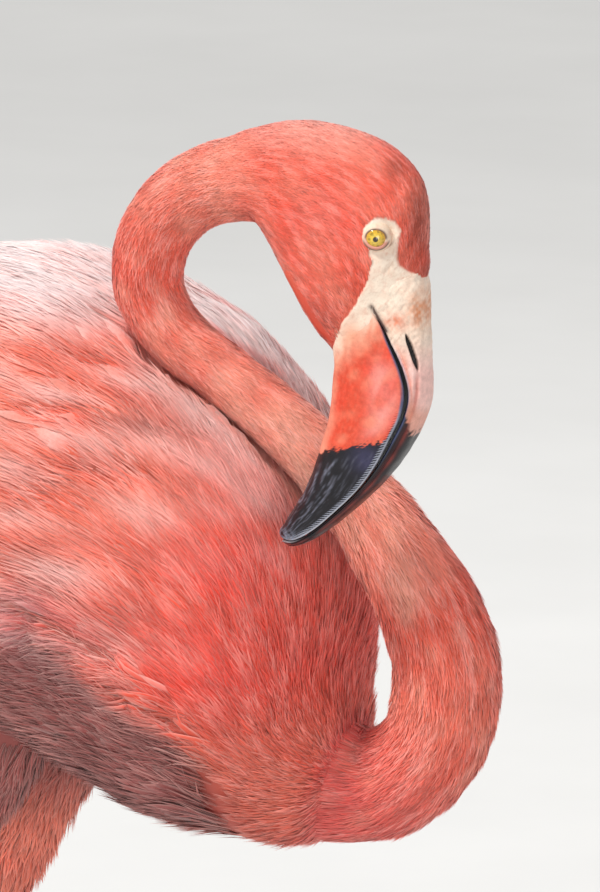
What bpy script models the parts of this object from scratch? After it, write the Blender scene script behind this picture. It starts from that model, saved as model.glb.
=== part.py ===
"""A life-size standing flamingo, at rest, with its neck folded in an S over the right shoulder.

Metres, +Z up. The bird faces +X, its left is +Y, and it stands on Z = 0 with the origin under
the middle of its bounding box. The shape is drawn in millimetres from the point midway between
the eyes' heights, and moved to the floor and the origin at the end.

Each soft part is a loft of rings. A ring is given by the point on the bird's back, the point on
its front or belly, and the half width between them, so the profile reads like a side view.
"""

import math

import bmesh
import bpy
import numpy as np
from mathutils import Matrix

MM = 0.001
GAP = 0.3  # clearance between neighbouring solids, in mm
CUT_GAP = 0.45  # clearance that a cutter leaves round the piece it stands for, in mm

EYE_HEIGHT = 800.0  # above the floor
HEAD_SIDE = -56.0  # how far the head hangs to the bird's right of its body
LEG_SIDE = 40.0  # half the distance between the legs
FLOOR = -EYE_HEIGHT

# The neck from the breast to the back of the head: forward, sideways, up, radius.
NECK = [
    (-112, 0, -222, 26.0),
    (-84, 0, -233, 24.5),
    (-56, 0, -239, 23.0),
    (-29, 0, -237, 22.2),
    (-8, 0, -219, 22.2),
    (-1, -1, -192, 22.8),
    (-6, -4, -166, 22.0),
    (-17.5, -9, -143, 19.6),
    (-31, -15, -121, 16.9),
    (-46, -21, -103, 14.9),
    (-65, -27, -85, 13.7),
    (-84, -32, -69.5, 13.2),
    (-103, -37, -54, 13.8),
    (-112.5, -41, -36, 15.0),
    (-109.5, -45, -17, 15.6),
    (-97.5, -49, 0, 16.0),
    (-80, -53, 11, 16.8),
    (-61, -56, 16.6, 18.6),
]
NECK_FLATNESS = 0.9  # width of the neck as a share of its depth
NECK_RINGS = 50
NECK_SIDES = 14
NECK_CUTS = (2, 12, 20, 28, 36, 43, 50)  # ring numbers where the neck is parted
NECK_NAMES = ("base", "lower", "shoulder", "middle", "loop", "upper")

# The trunk from the foot of the neck to the rump: back point, belly point, half width.
TRUNK = [
    ((-40, -226), (-44, -248), 11),
    ((-42, -206), (-56, -263), 31),
    ((-44, -189), (-74, -266), 46),
    ((-43, -165), (-92, -267), 60),
    ((-45, -138), (-110, -265), 72),
    ((-53, -109), (-129, -261), 81),
    ((-73, -80), (-150, -254), 87),
    ((-105, -54), (-173, -243), 90),
    ((-146, -40), (-198, -229), 89),
    ((-190, -35), (-225, -211), 85),
    ((-236, -41), (-254, -190), 76),
    ((-279, -56), (-284, -166), 62),
    ((-316, -74), (-312, -143), 45),
    ((-344, -89), (-336, -126), 28),
    ((-362, -99), (-354, -114), 12),
]
TRUNK_RINGS = 25
TRUNK_SIDES = 24

# The folded wing's outline seen from the side, going round from the wrist along the back.
WING_OUTLINE = [
    (-82, -132),
    (-100, -92),
    (-140, -62),
    (-200, -48),
    (-270, -60),
    (-335, -88),
    (-400, -122),
    (-452, -152),
    (-446, -161),
    (-395, -157),
    (-330, -165),
    (-260, -182),
    (-190, -204),
    (-130, -213),
    (-92, -185),
]
WING_OUTLINE_POINTS = 30
WING_PARTING = 5.0  # how far each wing stays from the middle of the back

# The plumage that the wings are cut from: like the trunk, wider, and drawn out behind it.
WING_COAT = [
    ((-58, -205), (-60, -225), 40),
    ((-58, -168), (-92, -236), 66),
    ((-58, -130), (-118, -240), 82),
    ((-76, -92), (-142, -240), 93),
    ((-104, -60), (-170, -236), 99),
    ((-146, -37), (-198, -228), 101),
    ((-190, -32), (-225, -212), 98),
    ((-236, -38), (-254, -193), 89),
    ((-279, -52), (-284, -178), 76),
    ((-322, -72), (-322, -170), 60),
    ((-366, -97), (-360, -163), 42),
    ((-410, -123), (-404, -162), 26),
    ((-456, -150), (-452, -164), 12),
]
WING_COAT_RINGS = 19
WING_COAT_SIDES = 20

TAIL_ROOT = (-312, -126)
TAIL_TIP = (-428, -173)
TAIL_HALF_WIDTHS = (18, 24, 26, 24, 12)
TAIL_HALF_DEPTHS = (13, 10.5, 7.5, 5, 3)

# The head from the neck to the foot of the bill: crown point, throat point, half width.
HEAD = [
    ((-65.7, 34.7), (-55.1, -1.3), 16.8),
    ((-46, 40.3), (-50.8, -9.8), 17.6),
    ((-29, 41.0), (-46.2, -19.0), 18.6),
    ((-11, 37.8), (-42, -27.2), 19.0),
    ((3, 31.5), (-38, -34.2), 18.8),
    ((11.6, 22.5), (-34.4, -39.6), 18.0),
    ((15, 12), (-31.2, -44), 16.6),
    ((15.6, 2), (-28, -47), 14.8),
    ((15.3, -8), (-25.5, -50), 13.0),
    ((15, -16.5), (-23, -52.5), 12.0),
    ((14.6, -22), (-22.6, -58), 11.6),
]
HEAD_RINGS = 15
HEAD_SIDES = 18
BILL_FOOT = ((15.0, -17.5), (-23.0, -51.5))  # the line where feathers end and the bill begins

# The bill's three profile curves, from its foot to its tip.
CULMEN = [
    (15.4, -14), (15.4, -30), (16.0, -45), (16.4, -58), (15.8, -67), (12.2, -77),
    (5.9, -88.5), (-2.6, -99.5), (-12.5, -109.5), (-24, -119.6), (-34, -126.8), (-42, -130.0), (-47.6, -128.9),
]
MOUTH = [
    (-8, -24), (-1, -34), (3.6, -43.3), (8.4, -53), (10.6, -62), (9.0, -71.5),
    (4.1, -81.5), (-2.2, -92.4), (-10.0, -102.6), (-19.9, -112.2), (-29.9, -120.8), (-39.3, -126.4), (-46.8, -127.6),
]
GONYS = [
    (-25, -44), (-24, -54), (-24.8, -63), (-25.6, -71), (-27, -79), (-29.6, -87),
    (-32, -94.5), (-34.6, -101.5), (-38.0, -108.4), (-42.0, -114.8), (-45.4, -120.2), (-47.8, -123.9), (-48.2, -126.6),
]
UPPER_BILL_WIDTHS = (11.0, 9.8, 9.0, 8.8, 8.8, 8.8, 8.7, 8.5, 8.2, 7.7, 6.8, 5.0, 1.4)
LOWER_BILL_WIDTHS = (10.5, 10.8, 11.4, 12.0, 12.2, 12.0, 11.5, 10.8, 10.0, 9.0, 7.6, 5.4, 1.4)
BILL_RINGS = 22
BILL_SIDES = 10

EYE_RADIUS = 6.0
EYE_FORWARD = -1.0
EYE_DEPTH = 12.4  # from the middle of the head to the eyeball's centre

# A leg from inside the belly to the foot: forward, sideways, up, half depth, half width.
LEG_TOP = [
    (-182, 2, -205, 40, 22),
    (-196, 2, -240, 33, 20),
    (-210, 1, -275, 23, 16),
    (-219, 1, -305, 14, 12),
    (-225, 0, -330, 9, 8.6),
]
SHIN = [
    (-225.5, 0, -330, 7.4, 6.8),
    (-234, 0, -385, 7.0, 6.2),
    (-242, 0, -440, 7.4, 6.6),
    (-246, 0, -466, 9.6, 8.2),
    (-248, 0, -484, 11.6, 9.6),
    (-246, 0, -502, 10.0, 8.4),
    (-242, 0, -524, 7.4, 6.6),
    (-235, 0, -590, 6.6, 5.8),
    (-226, 0, -680, 6.4, 5.6),
    (-219, 0, -755, 6.8, 6.2),
    (-217, 0, -776, 8.0, 7.2),
]
SHIN_PART = 0.44  # share of the leg's bare length above the ankle's middle
LEG_RINGS = 20
LEG_SIDES = 10
LEG_STEP = (-14.0, 14.0)  # how far the left and the right foot are set forward of the other

# The webbed foot: the toes' lengths, and their turn from straight ahead.
TOE_LENGTHS = (74.0, 90.0, 80.0)
TOE_TURNS = (29.0, 0.0, -29.0)
TOE_RADII = (4.2, 2.3)
HIND_TOE_LENGTH = 17.0
WEB_THICKNESS = 1.6
WEB_REACH = 0.9  # how far along each toe the web goes
WEB_NOTCH = 0.8  # how deep the web's edge is cut between two toes
CLAW_LENGTH = 7.0
FOOT_HEIGHT = 20.0  # the top of the foot, where the shank ends

COLOURS = {
    "plumage": ((0.80, 0.20, 0.13, 1), 0.75),
    "wing": ((0.84, 0.32, 0.25, 1), 0.75),
    "leg": ((0.62, 0.38, 0.36, 1), 0.6),
    "foot": ((0.52, 0.33, 0.32, 1), 0.6),
    "bill_upper": ((0.80, 0.52, 0.42, 1), 0.4),
    "bill_lower": ((0.82, 0.27, 0.14, 1), 0.4),
    "eye": ((0.75, 0.58, 0.10, 1), 0.12),
}


def clear_scene():
    for obj in list(bpy.data.objects):
        bpy.data.objects.remove(obj, do_unlink=True)


def material(name):
    """A plain finish of one colour and roughness."""
    found = bpy.data.materials.get(name)
    if found:
        return found
    colour, roughness = COLOURS[name]
    made = bpy.data.materials.new(name)
    made.use_nodes = True
    shader = made.node_tree.nodes["Principled BSDF"]
    shader.inputs["Base Color"].default_value = colour
    shader.inputs["Roughness"].default_value = roughness
    shader.inputs["Metallic"].default_value = 0.0
    made.diffuse_color = colour
    return made


def smooth_rows(rows, count):
    """count rows along a smooth curve through the given rows, evenly spread between them.

    Each stretch is a cubic whose slopes are those of the neighbouring rows (Catmull and Rom).
    """
    rows = np.asarray(rows, float)
    padded = np.vstack([2 * rows[0] - rows[1], rows, 2 * rows[-1] - rows[-2]])
    where = np.linspace(0, len(rows) - 1, count)
    first = np.minimum(where.astype(int), len(rows) - 2)
    t = (where - first)[:, None]
    before, start, end, after = (padded[first + k] for k in range(4))
    return 0.5 * (
        2 * start
        + (end - before) * t
        + (2 * before - 5 * start + 4 * end - after) * t**2
        + (3 * start - before - 3 * end + after) * t**3
    )


def ring_grid(back, front, half_width, sides, fullness=2.0):
    """Rings through back and front points, as an array of rings by sides by 3.

    A ring is an oval: its long way runs from front to back, its half width lies along Y.
    A fullness over 2 squares its shoulders.
    """
    turn = np.linspace(0, 2 * math.pi, sides, endpoint=False)
    power = 2 / fullness
    along = np.sign(np.cos(turn)) * np.abs(np.cos(turn)) ** power
    across = np.sign(np.sin(turn)) * np.abs(np.sin(turn)) ** power
    middle = (back + front) / 2
    reach = (back - front) / 2
    rings = middle[:, None, :] + reach[:, None, :] * along[None, :, None]
    rings[:, :, 1] += np.asarray(half_width, float)[:, None] * across[None, :]
    return rings


def profile_rings(rows, count, sides, side=0.0, fullness=2.0, grow=0.0):
    """Rings of a loft that is given by (back point, front point, half width) rows."""
    flat = smooth_rows([(*back, *front, width) for back, front, width in rows], count)
    back = np.column_stack([flat[:, 0], np.full(count, side), flat[:, 1]])
    front = np.column_stack([flat[:, 2], np.full(count, side), flat[:, 3]])
    reach = back - front
    reach /= np.linalg.norm(reach, axis=1)[:, None]
    return ring_grid(back + grow * reach, front - grow * reach, flat[:, 4] + grow, sides, fullness)


def path_rings(rows, count, sides, flatness=1.0, grow=0.0):
    """Rings of a tube along (forward, sideways, up, radius) rows.

    Each ring stands square to the path in the side view and keeps its width along Y.
    """
    flat = smooth_rows(rows, count)
    centre = flat[:, :3]
    run = np.gradient(centre, axis=0)
    run[:, 1] = 0
    run /= np.linalg.norm(run, axis=1)[:, None]
    up = np.cross(run, (0.0, 1.0, 0.0))
    reach = up * (flat[:, 3] + grow)[:, None]
    return ring_grid(centre + reach, centre - reach, flat[:, 3] * flatness + grow, sides)


def solid(name, rings, finish, helper=False):
    """An object whose mesh joins the rings and closes both ends with a fan."""
    count, sides = rings.shape[:2]
    mesh = bmesh.new()
    grid = [[mesh.verts.new(point) for point in ring * MM] for ring in rings]
    for lower, upper in zip(grid, grid[1:]):
        for k in range(sides):
            n = (k + 1) % sides
            mesh.faces.new((lower[k], lower[n], upper[n], upper[k]))
    for ring in (grid[0], grid[-1]):
        centre = sum((v.co for v in ring), ring[0].co * 0) / sides
        pole = mesh.verts.new(centre)
        for k in range(sides):
            mesh.faces.new((ring[k], ring[(k + 1) % sides], pole))
    return finished(name, mesh, finish, helper)


def finished(name, mesh, finish, helper=False):
    """Turns a bmesh into an object with its faces pointing out, shaded smooth."""
    bmesh.ops.recalc_face_normals(mesh, faces=mesh.faces)
    data = bpy.data.meshes.new(name)
    mesh.to_mesh(data)
    mesh.free()
    data.shade_smooth()
    obj = bpy.data.objects.new(name, data)
    bpy.context.scene.collection.objects.link(obj)
    if finish:
        data.materials.append(material(finish))
    if helper:
        obj.hide_render = True
        obj.display_type = "WIRE"
    return obj


def combine(obj, other, operation):
    """Adds a Boolean to obj. other is a hidden helper or a neighbour's grown copy."""
    cut = obj.modifiers.new(operation.lower() + "_" + other.name, "BOOLEAN")
    cut.operation = operation
    cut.solver = "EXACT"
    cut.object = other


def keep_side(obj, point, outward):
    """Cuts obj by a plane, removes what lies beyond it and closes the cut."""
    mesh = bmesh.new()
    mesh.from_mesh(obj.data)
    done = bmesh.ops.bisect_plane(
        mesh,
        geom=mesh.verts[:] + mesh.edges[:] + mesh.faces[:],
        plane_co=np.asarray(point) * MM,
        plane_no=outward,
        clear_outer=True,
        dist=1e-6,
    )
    rim = [e for e in done["geom_cut"] if isinstance(e, bmesh.types.BMEdge)]
    bmesh.ops.triangle_fill(mesh, edges=rim, use_beauty=True)
    bmesh.ops.recalc_face_normals(mesh, faces=mesh.faces)
    mesh.to_mesh(obj.data)
    mesh.free()


def part_rings(rings, start, end):
    """The rings from start to end, with each cut end drawn in by half the gap."""
    piece = rings[start : end + 1].copy()
    for edge, inner, trimmed in ((0, 1, start > 0), (-1, -2, end < len(rings) - 1)):
        if trimmed:
            step = piece[inner].mean(axis=0) - piece[edge].mean(axis=0)
            piece[edge] += (piece[inner] - piece[edge]) * (GAP / 2 / np.linalg.norm(step))
    return piece


def build_neck():
    """The neck in six lengths, parted by thin flat gaps, and its grown copy for cutting."""
    rings = path_rings(NECK, NECK_RINGS + 1, NECK_SIDES, NECK_FLATNESS)
    for name, start, end in zip(NECK_NAMES, NECK_CUTS, NECK_CUTS[1:]):
        solid("neck_" + name, part_rings(rings, start, end), "plumage")
    grown = path_rings(NECK, NECK_RINGS + 1, NECK_SIDES, NECK_FLATNESS, CUT_GAP)
    grown = grown[NECK_CUTS[0] :]
    grown[0] += (grown[0] - grown[1]) * (CUT_GAP / np.linalg.norm((grown[0] - grown[1]).mean(axis=0)))
    return solid("neck_cutter", grown, None, helper=True)


def build_trunk():
    """The trunk and its grown copy, which the wings, tail and thighs are cut by."""
    rings = profile_rings(TRUNK, TRUNK_RINGS, TRUNK_SIDES, fullness=2.15)
    grown = profile_rings(TRUNK, TRUNK_RINGS, TRUNK_SIDES, fullness=2.15, grow=CUT_GAP)
    trunk = solid("trunk", rings, "plumage")
    return trunk, solid("trunk_cutter", grown, None, helper=True)


def outline_points(points, count):
    """A smooth closed outline through the given points."""
    ends = [points[-1], *points, points[0], points[1]]
    spread = smooth_rows(ends, (len(ends) - 1) * 12 + 1)[12 : -12]
    lengths = np.linalg.norm(np.diff(spread, axis=0), axis=1)
    reached = np.concatenate([[0], np.cumsum(lengths)])
    wanted = np.linspace(0, reached[-1], count, endpoint=False)
    return np.column_stack([np.interp(wanted, reached, spread[:, k]) for k in (0, 1)])


def wing_slab(side):
    """A prism of the wing's outline, from beside the back's middle out past the wing."""
    outline = outline_points(WING_OUTLINE, WING_OUTLINE_POINTS)
    depths = (WING_PARTING * side, 130 * side)
    mesh = bmesh.new()
    rows = [[mesh.verts.new((x * MM, y * MM, z * MM)) for x, z in outline] for y in depths]
    for k in range(len(outline)):
        n = (k + 1) % len(outline)
        mesh.faces.new((rows[0][k], rows[0][n], rows[1][n], rows[1][k]))
    mesh.faces.new(rows[0])
    mesh.faces.new(rows[1])
    return finished("wing_slab_" + ("left" if side > 0 else "right"), mesh, None, helper=True)


def build_wing(name, side, cutters):
    """A folded wing: the wing coat inside its side outline, less the pieces it lies on."""
    coat = profile_rings(WING_COAT, WING_COAT_RINGS, WING_COAT_SIDES, fullness=2.3)
    wing = solid(name, coat, "wing")
    combine(wing, wing_slab(side), "INTERSECT")
    for cutter in cutters:
        combine(wing, cutter, "DIFFERENCE")
    return wing


def tail_rings(grow=0.0, drop=0.0, fullness=2.6):
    """A flat fan that widens and thins towards its rounded end.

    A drop carries its underside down, for clearing the space below it.
    """
    root, tip = np.array(TAIL_ROOT, float), np.array(TAIL_TIP, float)
    run = (tip - root) / np.linalg.norm(tip - root)
    up = np.array([run[1], -run[0]]) * np.sign(-run[0])
    share = np.linspace(0, 1, len(TAIL_HALF_WIDTHS))
    rows = []
    for s, width, depth in zip(share, TAIL_HALF_WIDTHS, TAIL_HALF_DEPTHS):
        centre = root + (tip - root) * s
        rows.append((centre + up * depth, centre - up * (depth + drop), width))
    return profile_rings(rows, 9, 14, fullness=fullness, grow=grow)


def build_tail(trunk_cutter):
    """The tail, and two shapes that clear it and the space below it from the wings."""
    tail = solid("tail", tail_rings(), "plumage")
    combine(tail, trunk_cutter, "DIFFERENCE")
    clear_of_tail = solid("tail_cutter", tail_rings(CUT_GAP), None, helper=True)
    below_tail = solid("below_tail", tail_rings(CUT_GAP, 60.0, 8.0), None, helper=True)
    return clear_of_tail, below_tail


def tip_closed(rings, middle):
    """The rings with the last one drawn in towards the tip, so that it ends bluntly."""
    rings = rings.copy()
    rings[-1] = middle + (rings[-1] - middle) * 0.6
    return rings


def bill_half(name, ridge, edge, widths, gap_side, finish):
    """One half of the bill: an arch from the mouth line to the ridge, with a flat mouth face.

    At each ring the arch's height runs from the mouth line to the ridge curve, and its
    half width comes from the list of widths.
    """
    top = smooth_rows(ridge, BILL_RINGS)
    base = smooth_rows(edge, BILL_RINGS)
    width = smooth_rows([[w] for w in widths], BILL_RINGS)[:, 0]
    height = top - base
    base = base + height / np.linalg.norm(height, axis=1)[:, None] * gap_side
    turn = np.linspace(0, math.pi, BILL_SIDES)
    rise = np.sin(turn) ** 0.85
    spread = np.sign(np.cos(turn)) * np.abs(np.cos(turn)) ** 0.8
    rings = np.zeros((BILL_RINGS, BILL_SIDES, 3))
    rings[:, :, 0] = base[:, 0, None] + (top - base)[:, 0, None] * rise
    rings[:, :, 2] = base[:, 1, None] + (top - base)[:, 1, None] * rise
    rings[:, :, 1] = HEAD_SIDE + width[:, None] * spread
    return solid(name, rings, finish)


def foot_plane():
    """A point on the plane where the bill begins, and its direction towards the bill's tip."""
    brow, chin = (np.array(p, float) for p in BILL_FOOT)
    along = (chin - brow) / np.linalg.norm(chin - brow)
    point = np.array([brow[0], HEAD_SIDE, brow[1]])
    return point, np.array([-along[1], 0, along[0]])


def build_head():
    """The head, its two bill halves and its eyes, parted at the foot of the bill."""
    point, towards_tip = foot_plane()
    head = solid("head", profile_rings(HEAD, HEAD_RINGS, HEAD_SIDES, HEAD_SIDE), "plumage")
    keep_side(head, point - towards_tip * GAP / 2, towards_tip)
    upper = bill_half("bill_upper", CULMEN, MOUTH, UPPER_BILL_WIDTHS, GAP, "bill_upper")
    lower = bill_half("bill_lower", GONYS, MOUTH, LOWER_BILL_WIDTHS, GAP, "bill_lower")
    for half in (upper, lower):
        keep_side(half, point + towards_tip * GAP / 2, -towards_tip)
    for name, side in (("left", 1), ("right", -1)):
        place = np.array([EYE_FORWARD, HEAD_SIDE + side * EYE_DEPTH, 0])
        eyeball("eye_" + name, place, EYE_RADIUS, "eye")
        socket = eyeball("socket_" + name, place, EYE_RADIUS + CUT_GAP, None, helper=True)
        combine(head, socket, "DIFFERENCE")


def eyeball(name, place, radius, finish, helper=False):
    mesh = bmesh.new()
    bmesh.ops.create_uvsphere(mesh, u_segments=14, v_segments=8, radius=radius * MM)
    quarter = Matrix.Rotation(math.pi / 2, 3, "X")  # stands the ball's poles along Y
    bmesh.ops.rotate(mesh, verts=mesh.verts, matrix=quarter, cent=(0, 0, 0))
    bmesh.ops.translate(mesh, verts=mesh.verts, vec=place * MM)
    return finished(name, mesh, finish, helper)


def leg_rings(rows, count, place):
    """Rings of a leg: level ovals along (forward, sideways, up, half depth, half width) rows."""
    flat = smooth_rows(rows, count)
    centre = flat[:, :3] + place
    reach = np.column_stack([flat[:, 3], np.zeros(count), np.zeros(count)])
    return ring_grid(centre + reach, centre - reach, flat[:, 4], LEG_SIDES)


def build_leg(name, side, step, trunk_cutter):
    """A thigh in its feathers, the bare shin, the shank below the ankle, and the foot."""
    place = np.array([0, side * LEG_SIDE, 0])
    top = np.array(LEG_TOP, float)
    bare = np.array(SHIN, float)
    top[:, 1] *= side
    # The step swings the bare leg forward: nothing at the feathers, all of it at the foot.
    bare[:, 0] += step * (bare[0, 2] - bare[:, 2]) / (bare[0, 2] - bare[-1, 2])
    thigh = solid("thigh_" + name, leg_rings(top, 9, place), "plumage")
    combine(thigh, trunk_cutter, "DIFFERENCE")
    rings = leg_rings(bare, LEG_RINGS + 1, place)
    middle = round(SHIN_PART * LEG_RINGS)
    shin = part_rings(rings, 0, middle)
    shin[0, :, 2] -= GAP
    solid("shin_" + name, shin, "leg")
    solid("shank_" + name, part_rings(rings, middle, LEG_RINGS), "leg")
    build_foot("foot_" + name, side, place + bare[-1, :3])


def toe_rings(start, length, turn, radii):
    """A toe lying on the floor with a flat sole: half ovals that taper to a claw."""
    share = np.array([0.0, 0.25, 0.5, 0.75, 1.0, 1.0 + CLAW_LENGTH / length])
    radius = np.interp(share, (0, 1), radii)
    radius[-2:] = (radii[1] * 0.75, 0.6)
    turn = math.radians(turn)
    run = np.array([math.cos(turn), math.sin(turn), 0])
    side = np.array([-run[1], run[0], 0])
    arch = np.linspace(0, math.pi, 5)
    height = np.interp(share, (0, 1), (2.1, 1.9)) * radius
    height[-2:] = (radii[1] * 1.5, 1.0)
    centre = start + run * (share * length)[:, None]
    rings = centre[:, None, :] + side * (radius[:, None] * np.cos(arch))[:, :, None]
    rings[:, :, 2] = FLOOR + height[:, None] * np.sin(arch) ** 0.8
    return rings


def web(name, start, side):
    """The skin between the toes: a thin plate whose front edge dips between them."""
    mesh = bmesh.new()
    edge = []
    for k in range(len(TOE_LENGTHS) - 1):
        for s in np.linspace(0, 1, 7)[(1 if k else 0) :]:
            turn = TOE_TURNS[k] + (TOE_TURNS[k + 1] - TOE_TURNS[k]) * s
            reach = TOE_LENGTHS[k] + (TOE_LENGTHS[k + 1] - TOE_LENGTHS[k]) * s
            reach *= WEB_REACH * (1 - (1 - WEB_NOTCH) * math.sin(math.pi * s))
            edge.append((reach * math.cos(math.radians(turn)), reach * math.sin(math.radians(turn))))
    outline = [(-2.0, side * 3.0)] + [(x, side * y) for x, y in edge] + [(-2.0, -side * 3.0)]
    levels = (FLOOR + 0.05, FLOOR + WEB_THICKNESS)
    rows = [
        [mesh.verts.new(((start[0] + x) * MM, (start[1] + y) * MM, z * MM)) for x, y in outline]
        for z in levels
    ]
    for k in range(len(outline)):
        n = (k + 1) % len(outline)
        mesh.faces.new((rows[0][k], rows[0][n], rows[1][n], rows[1][k]))
    for row in rows:
        mesh.faces.new(row)
    bmesh.ops.triangulate(mesh, faces=mesh.faces)
    return finished(name, mesh, None, helper=True)


def build_foot(name, side, ankle):
    """The instep with its three front toes, hind toe and web joined into one solid."""
    base = np.array([ankle[0], ankle[1], FLOOR])
    drop = np.array([0.25, 0.5, 0.75, 1.0])
    heights = np.array([FOOT_HEIGHT + 3.4, 16.0, 9.0, 3.0])
    depth = np.array([8.0, 8.6, 9.6, 10.0])
    width = np.array([7.2, 7.6, 8.4, 8.8])
    centre = base + np.column_stack([drop * 1.5, np.zeros(4), heights])
    reach = np.column_stack([depth, np.zeros(4), np.zeros(4)])
    rings = ring_grid(centre + reach, centre - reach, width, LEG_SIDES)
    rings = np.concatenate([rings, rings[-1:] * (1, 1, 0) + (0, 0, FLOOR)])
    foot = solid(name, rings, "foot")
    for k, (length, turn) in enumerate(zip(TOE_LENGTHS, TOE_TURNS)):
        toe = toe_rings(base, length, turn * side, TOE_RADII)
        combine(foot, solid(f"{name}_toe_{k + 1}", toe, None, helper=True), "UNION")
    hind = toe_rings(base - (4, 0, 0), HIND_TOE_LENGTH, 180 - 14 * side, (3.4, 1.8))
    combine(foot, solid(name + "_hind_toe", hind, None, helper=True), "UNION")
    combine(foot, web(name + "_web", base, side), "UNION")


def settle():
    """Moves every object so that it stands on Z = 0, with the box's middle at X = Y = 0."""
    bpy.context.view_layer.update()
    graph = bpy.context.evaluated_depsgraph_get()
    low, high = [], []
    for obj in bpy.data.objects:
        if obj.hide_render:
            continue
        data = obj.evaluated_get(graph).to_mesh()
        points = np.empty(len(data.vertices) * 3, np.float32)
        data.vertices.foreach_get("co", points)
        points = points.reshape(-1, 3)
        low.append(points.min(axis=0))
        high.append(points.max(axis=0))
    low, high = np.min(low, axis=0), np.max(high, axis=0)
    shift = -np.array([(low[0] + high[0]) / 2, (low[1] + high[1]) / 2, low[2]])
    for obj in bpy.data.objects:
        obj.location = shift


def main():
    clear_scene()
    neck_cutter = build_neck()
    trunk, trunk_cutter = build_trunk()
    combine(trunk, neck_cutter, "DIFFERENCE")
    tail_cutters = build_tail(trunk_cutter)
    for name, side, step in (("left", 1, LEG_STEP[0]), ("right", -1, LEG_STEP[1])):
        build_wing("wing_" + name, side, (trunk_cutter, *tail_cutters, neck_cutter))
        build_leg(name, side, step, trunk_cutter)
    build_head()
    settle()


main()
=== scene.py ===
"""The looks of a life-size standing flamingo: one skin, its feathers, bill, eyes, claws, light and camera.

The bird is drawn in millimetres from the point between its eyes, facing +X with its left at +Y,
as its solids are, and every finished mesh is then moved to the solids' place.

A soft part is a loft of rings. A feather or tuft is a blade laid along the hide, which is that
loft's shape, so it follows the body. Colour is a function of the place on the body, read by the
skin and the feathers alike.
"""

import math

import bpy
import numpy as np
from mathutils import Matrix, Vector


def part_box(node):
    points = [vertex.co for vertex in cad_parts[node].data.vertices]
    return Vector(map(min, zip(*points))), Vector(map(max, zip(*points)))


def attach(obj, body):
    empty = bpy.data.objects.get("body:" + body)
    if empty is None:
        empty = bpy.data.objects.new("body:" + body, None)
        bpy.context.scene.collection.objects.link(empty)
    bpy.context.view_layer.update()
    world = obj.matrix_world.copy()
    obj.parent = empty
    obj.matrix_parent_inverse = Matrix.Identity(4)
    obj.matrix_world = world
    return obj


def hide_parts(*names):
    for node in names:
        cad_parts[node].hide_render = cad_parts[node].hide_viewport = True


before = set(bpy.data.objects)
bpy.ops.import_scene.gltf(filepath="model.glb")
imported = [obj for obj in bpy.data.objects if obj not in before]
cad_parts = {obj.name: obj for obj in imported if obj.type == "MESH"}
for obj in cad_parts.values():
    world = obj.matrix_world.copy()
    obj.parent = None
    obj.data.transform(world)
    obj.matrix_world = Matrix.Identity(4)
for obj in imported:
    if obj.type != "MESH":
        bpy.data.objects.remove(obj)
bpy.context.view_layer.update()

MM = 0.001
HEAD_SIDE = -56.0  # how far the head hangs to the bird's right of its body
EYE_FORWARD = -1.0
EYE_DEPTH = 12.4  # from the middle of the head to the eyeball's centre
EYE_RADIUS = 6.0
IRIS_FORWARD = 0.7  # where the visible middle of an eye lies, because it looks a little forward
FLOOR = -800.0
SIDES = (("left", 1), ("right", -1))
ANKLE = -484.0  # the height of the knob in the middle of the leg
THIGH_END = -322.0  # below this height the thigh's feathers thin out to the bare leg
NECK_RINGS, HEAD_RINGS, NECK_SIDES = 300, 220, 176
HEAD_START = 296  # the ring of that loft where the neck gives way to the head

# ---------------------------------------------------------------- the body's driving rows

# The neck from the breast to the back of the head: forward, sideways, up, radius.
NECK = [
    (-112, 0, -220, 36.0), (-84, 0, -228, 33.0), (-56, 0, -236, 27.0), (-29, 0, -237, 22.8),
    (-8, 0, -219, 22.2), (-1, -1, -192, 22.8), (-6, -4, -166, 22.0), (-17.5, -9, -143, 19.6),
    (-31, -15, -121, 16.9), (-46, -21, -103, 14.9), (-65, -27, -85, 13.7), (-84, -32, -69.5, 13.2),
    (-103, -37, -54, 13.8), (-112.5, -41, -36, 15.0), (-109.5, -45, -17, 15.6), (-97.5, -49, 0, 16.0),
    (-80, -53, 11, 16.8), (-61, -56, 16.6, 18.6),
]
NECK_FLATNESS = 0.9

# The head from the neck to the foot of the bill: crown point, throat point, half width.
HEAD = [
    ((-65.7, 34.7), (-55.1, -1.3), 16.8), ((-46, 40.3), (-50.8, -9.8), 17.6),
    ((-29, 41.0), (-46.2, -19.0), 18.6), ((-11, 37.8), (-42, -27.2), 19.0),
    ((3, 31.5), (-38, -34.2), 18.8), ((11.6, 22.5), (-34.4, -39.6), 18.0),
    ((15, 12), (-31.2, -44), 16.6), ((15.6, 2), (-28, -47), 14.8),
    ((15.3, -8), (-25.5, -50), 13.0), ((15, -15.5), (-23.6, -52.2), 12.1),
    ((14.4, -20), (-22.6, -55), 10.9),
]

# The trunk from the foot of the neck to the rump: back point, belly point, half width.
TRUNK = [
    ((-40, -226), (-44, -248), 11), ((-42, -206), (-56, -263), 31), ((-44, -189), (-74, -266), 46),
    ((-43, -165), (-92, -267), 60), ((-45, -138), (-110, -265), 72), ((-53, -109), (-129, -261), 81),
    ((-73, -80), (-150, -254), 87), ((-105, -54), (-173, -243), 90), ((-146, -40), (-198, -229), 89),
    ((-190, -35), (-225, -211), 85), ((-236, -41), (-254, -190), 76), ((-279, -56), (-284, -166), 62),
    ((-316, -74), (-312, -143), 45), ((-344, -89), (-336, -126), 28), ((-362, -99), (-354, -114), 12),
]

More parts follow.
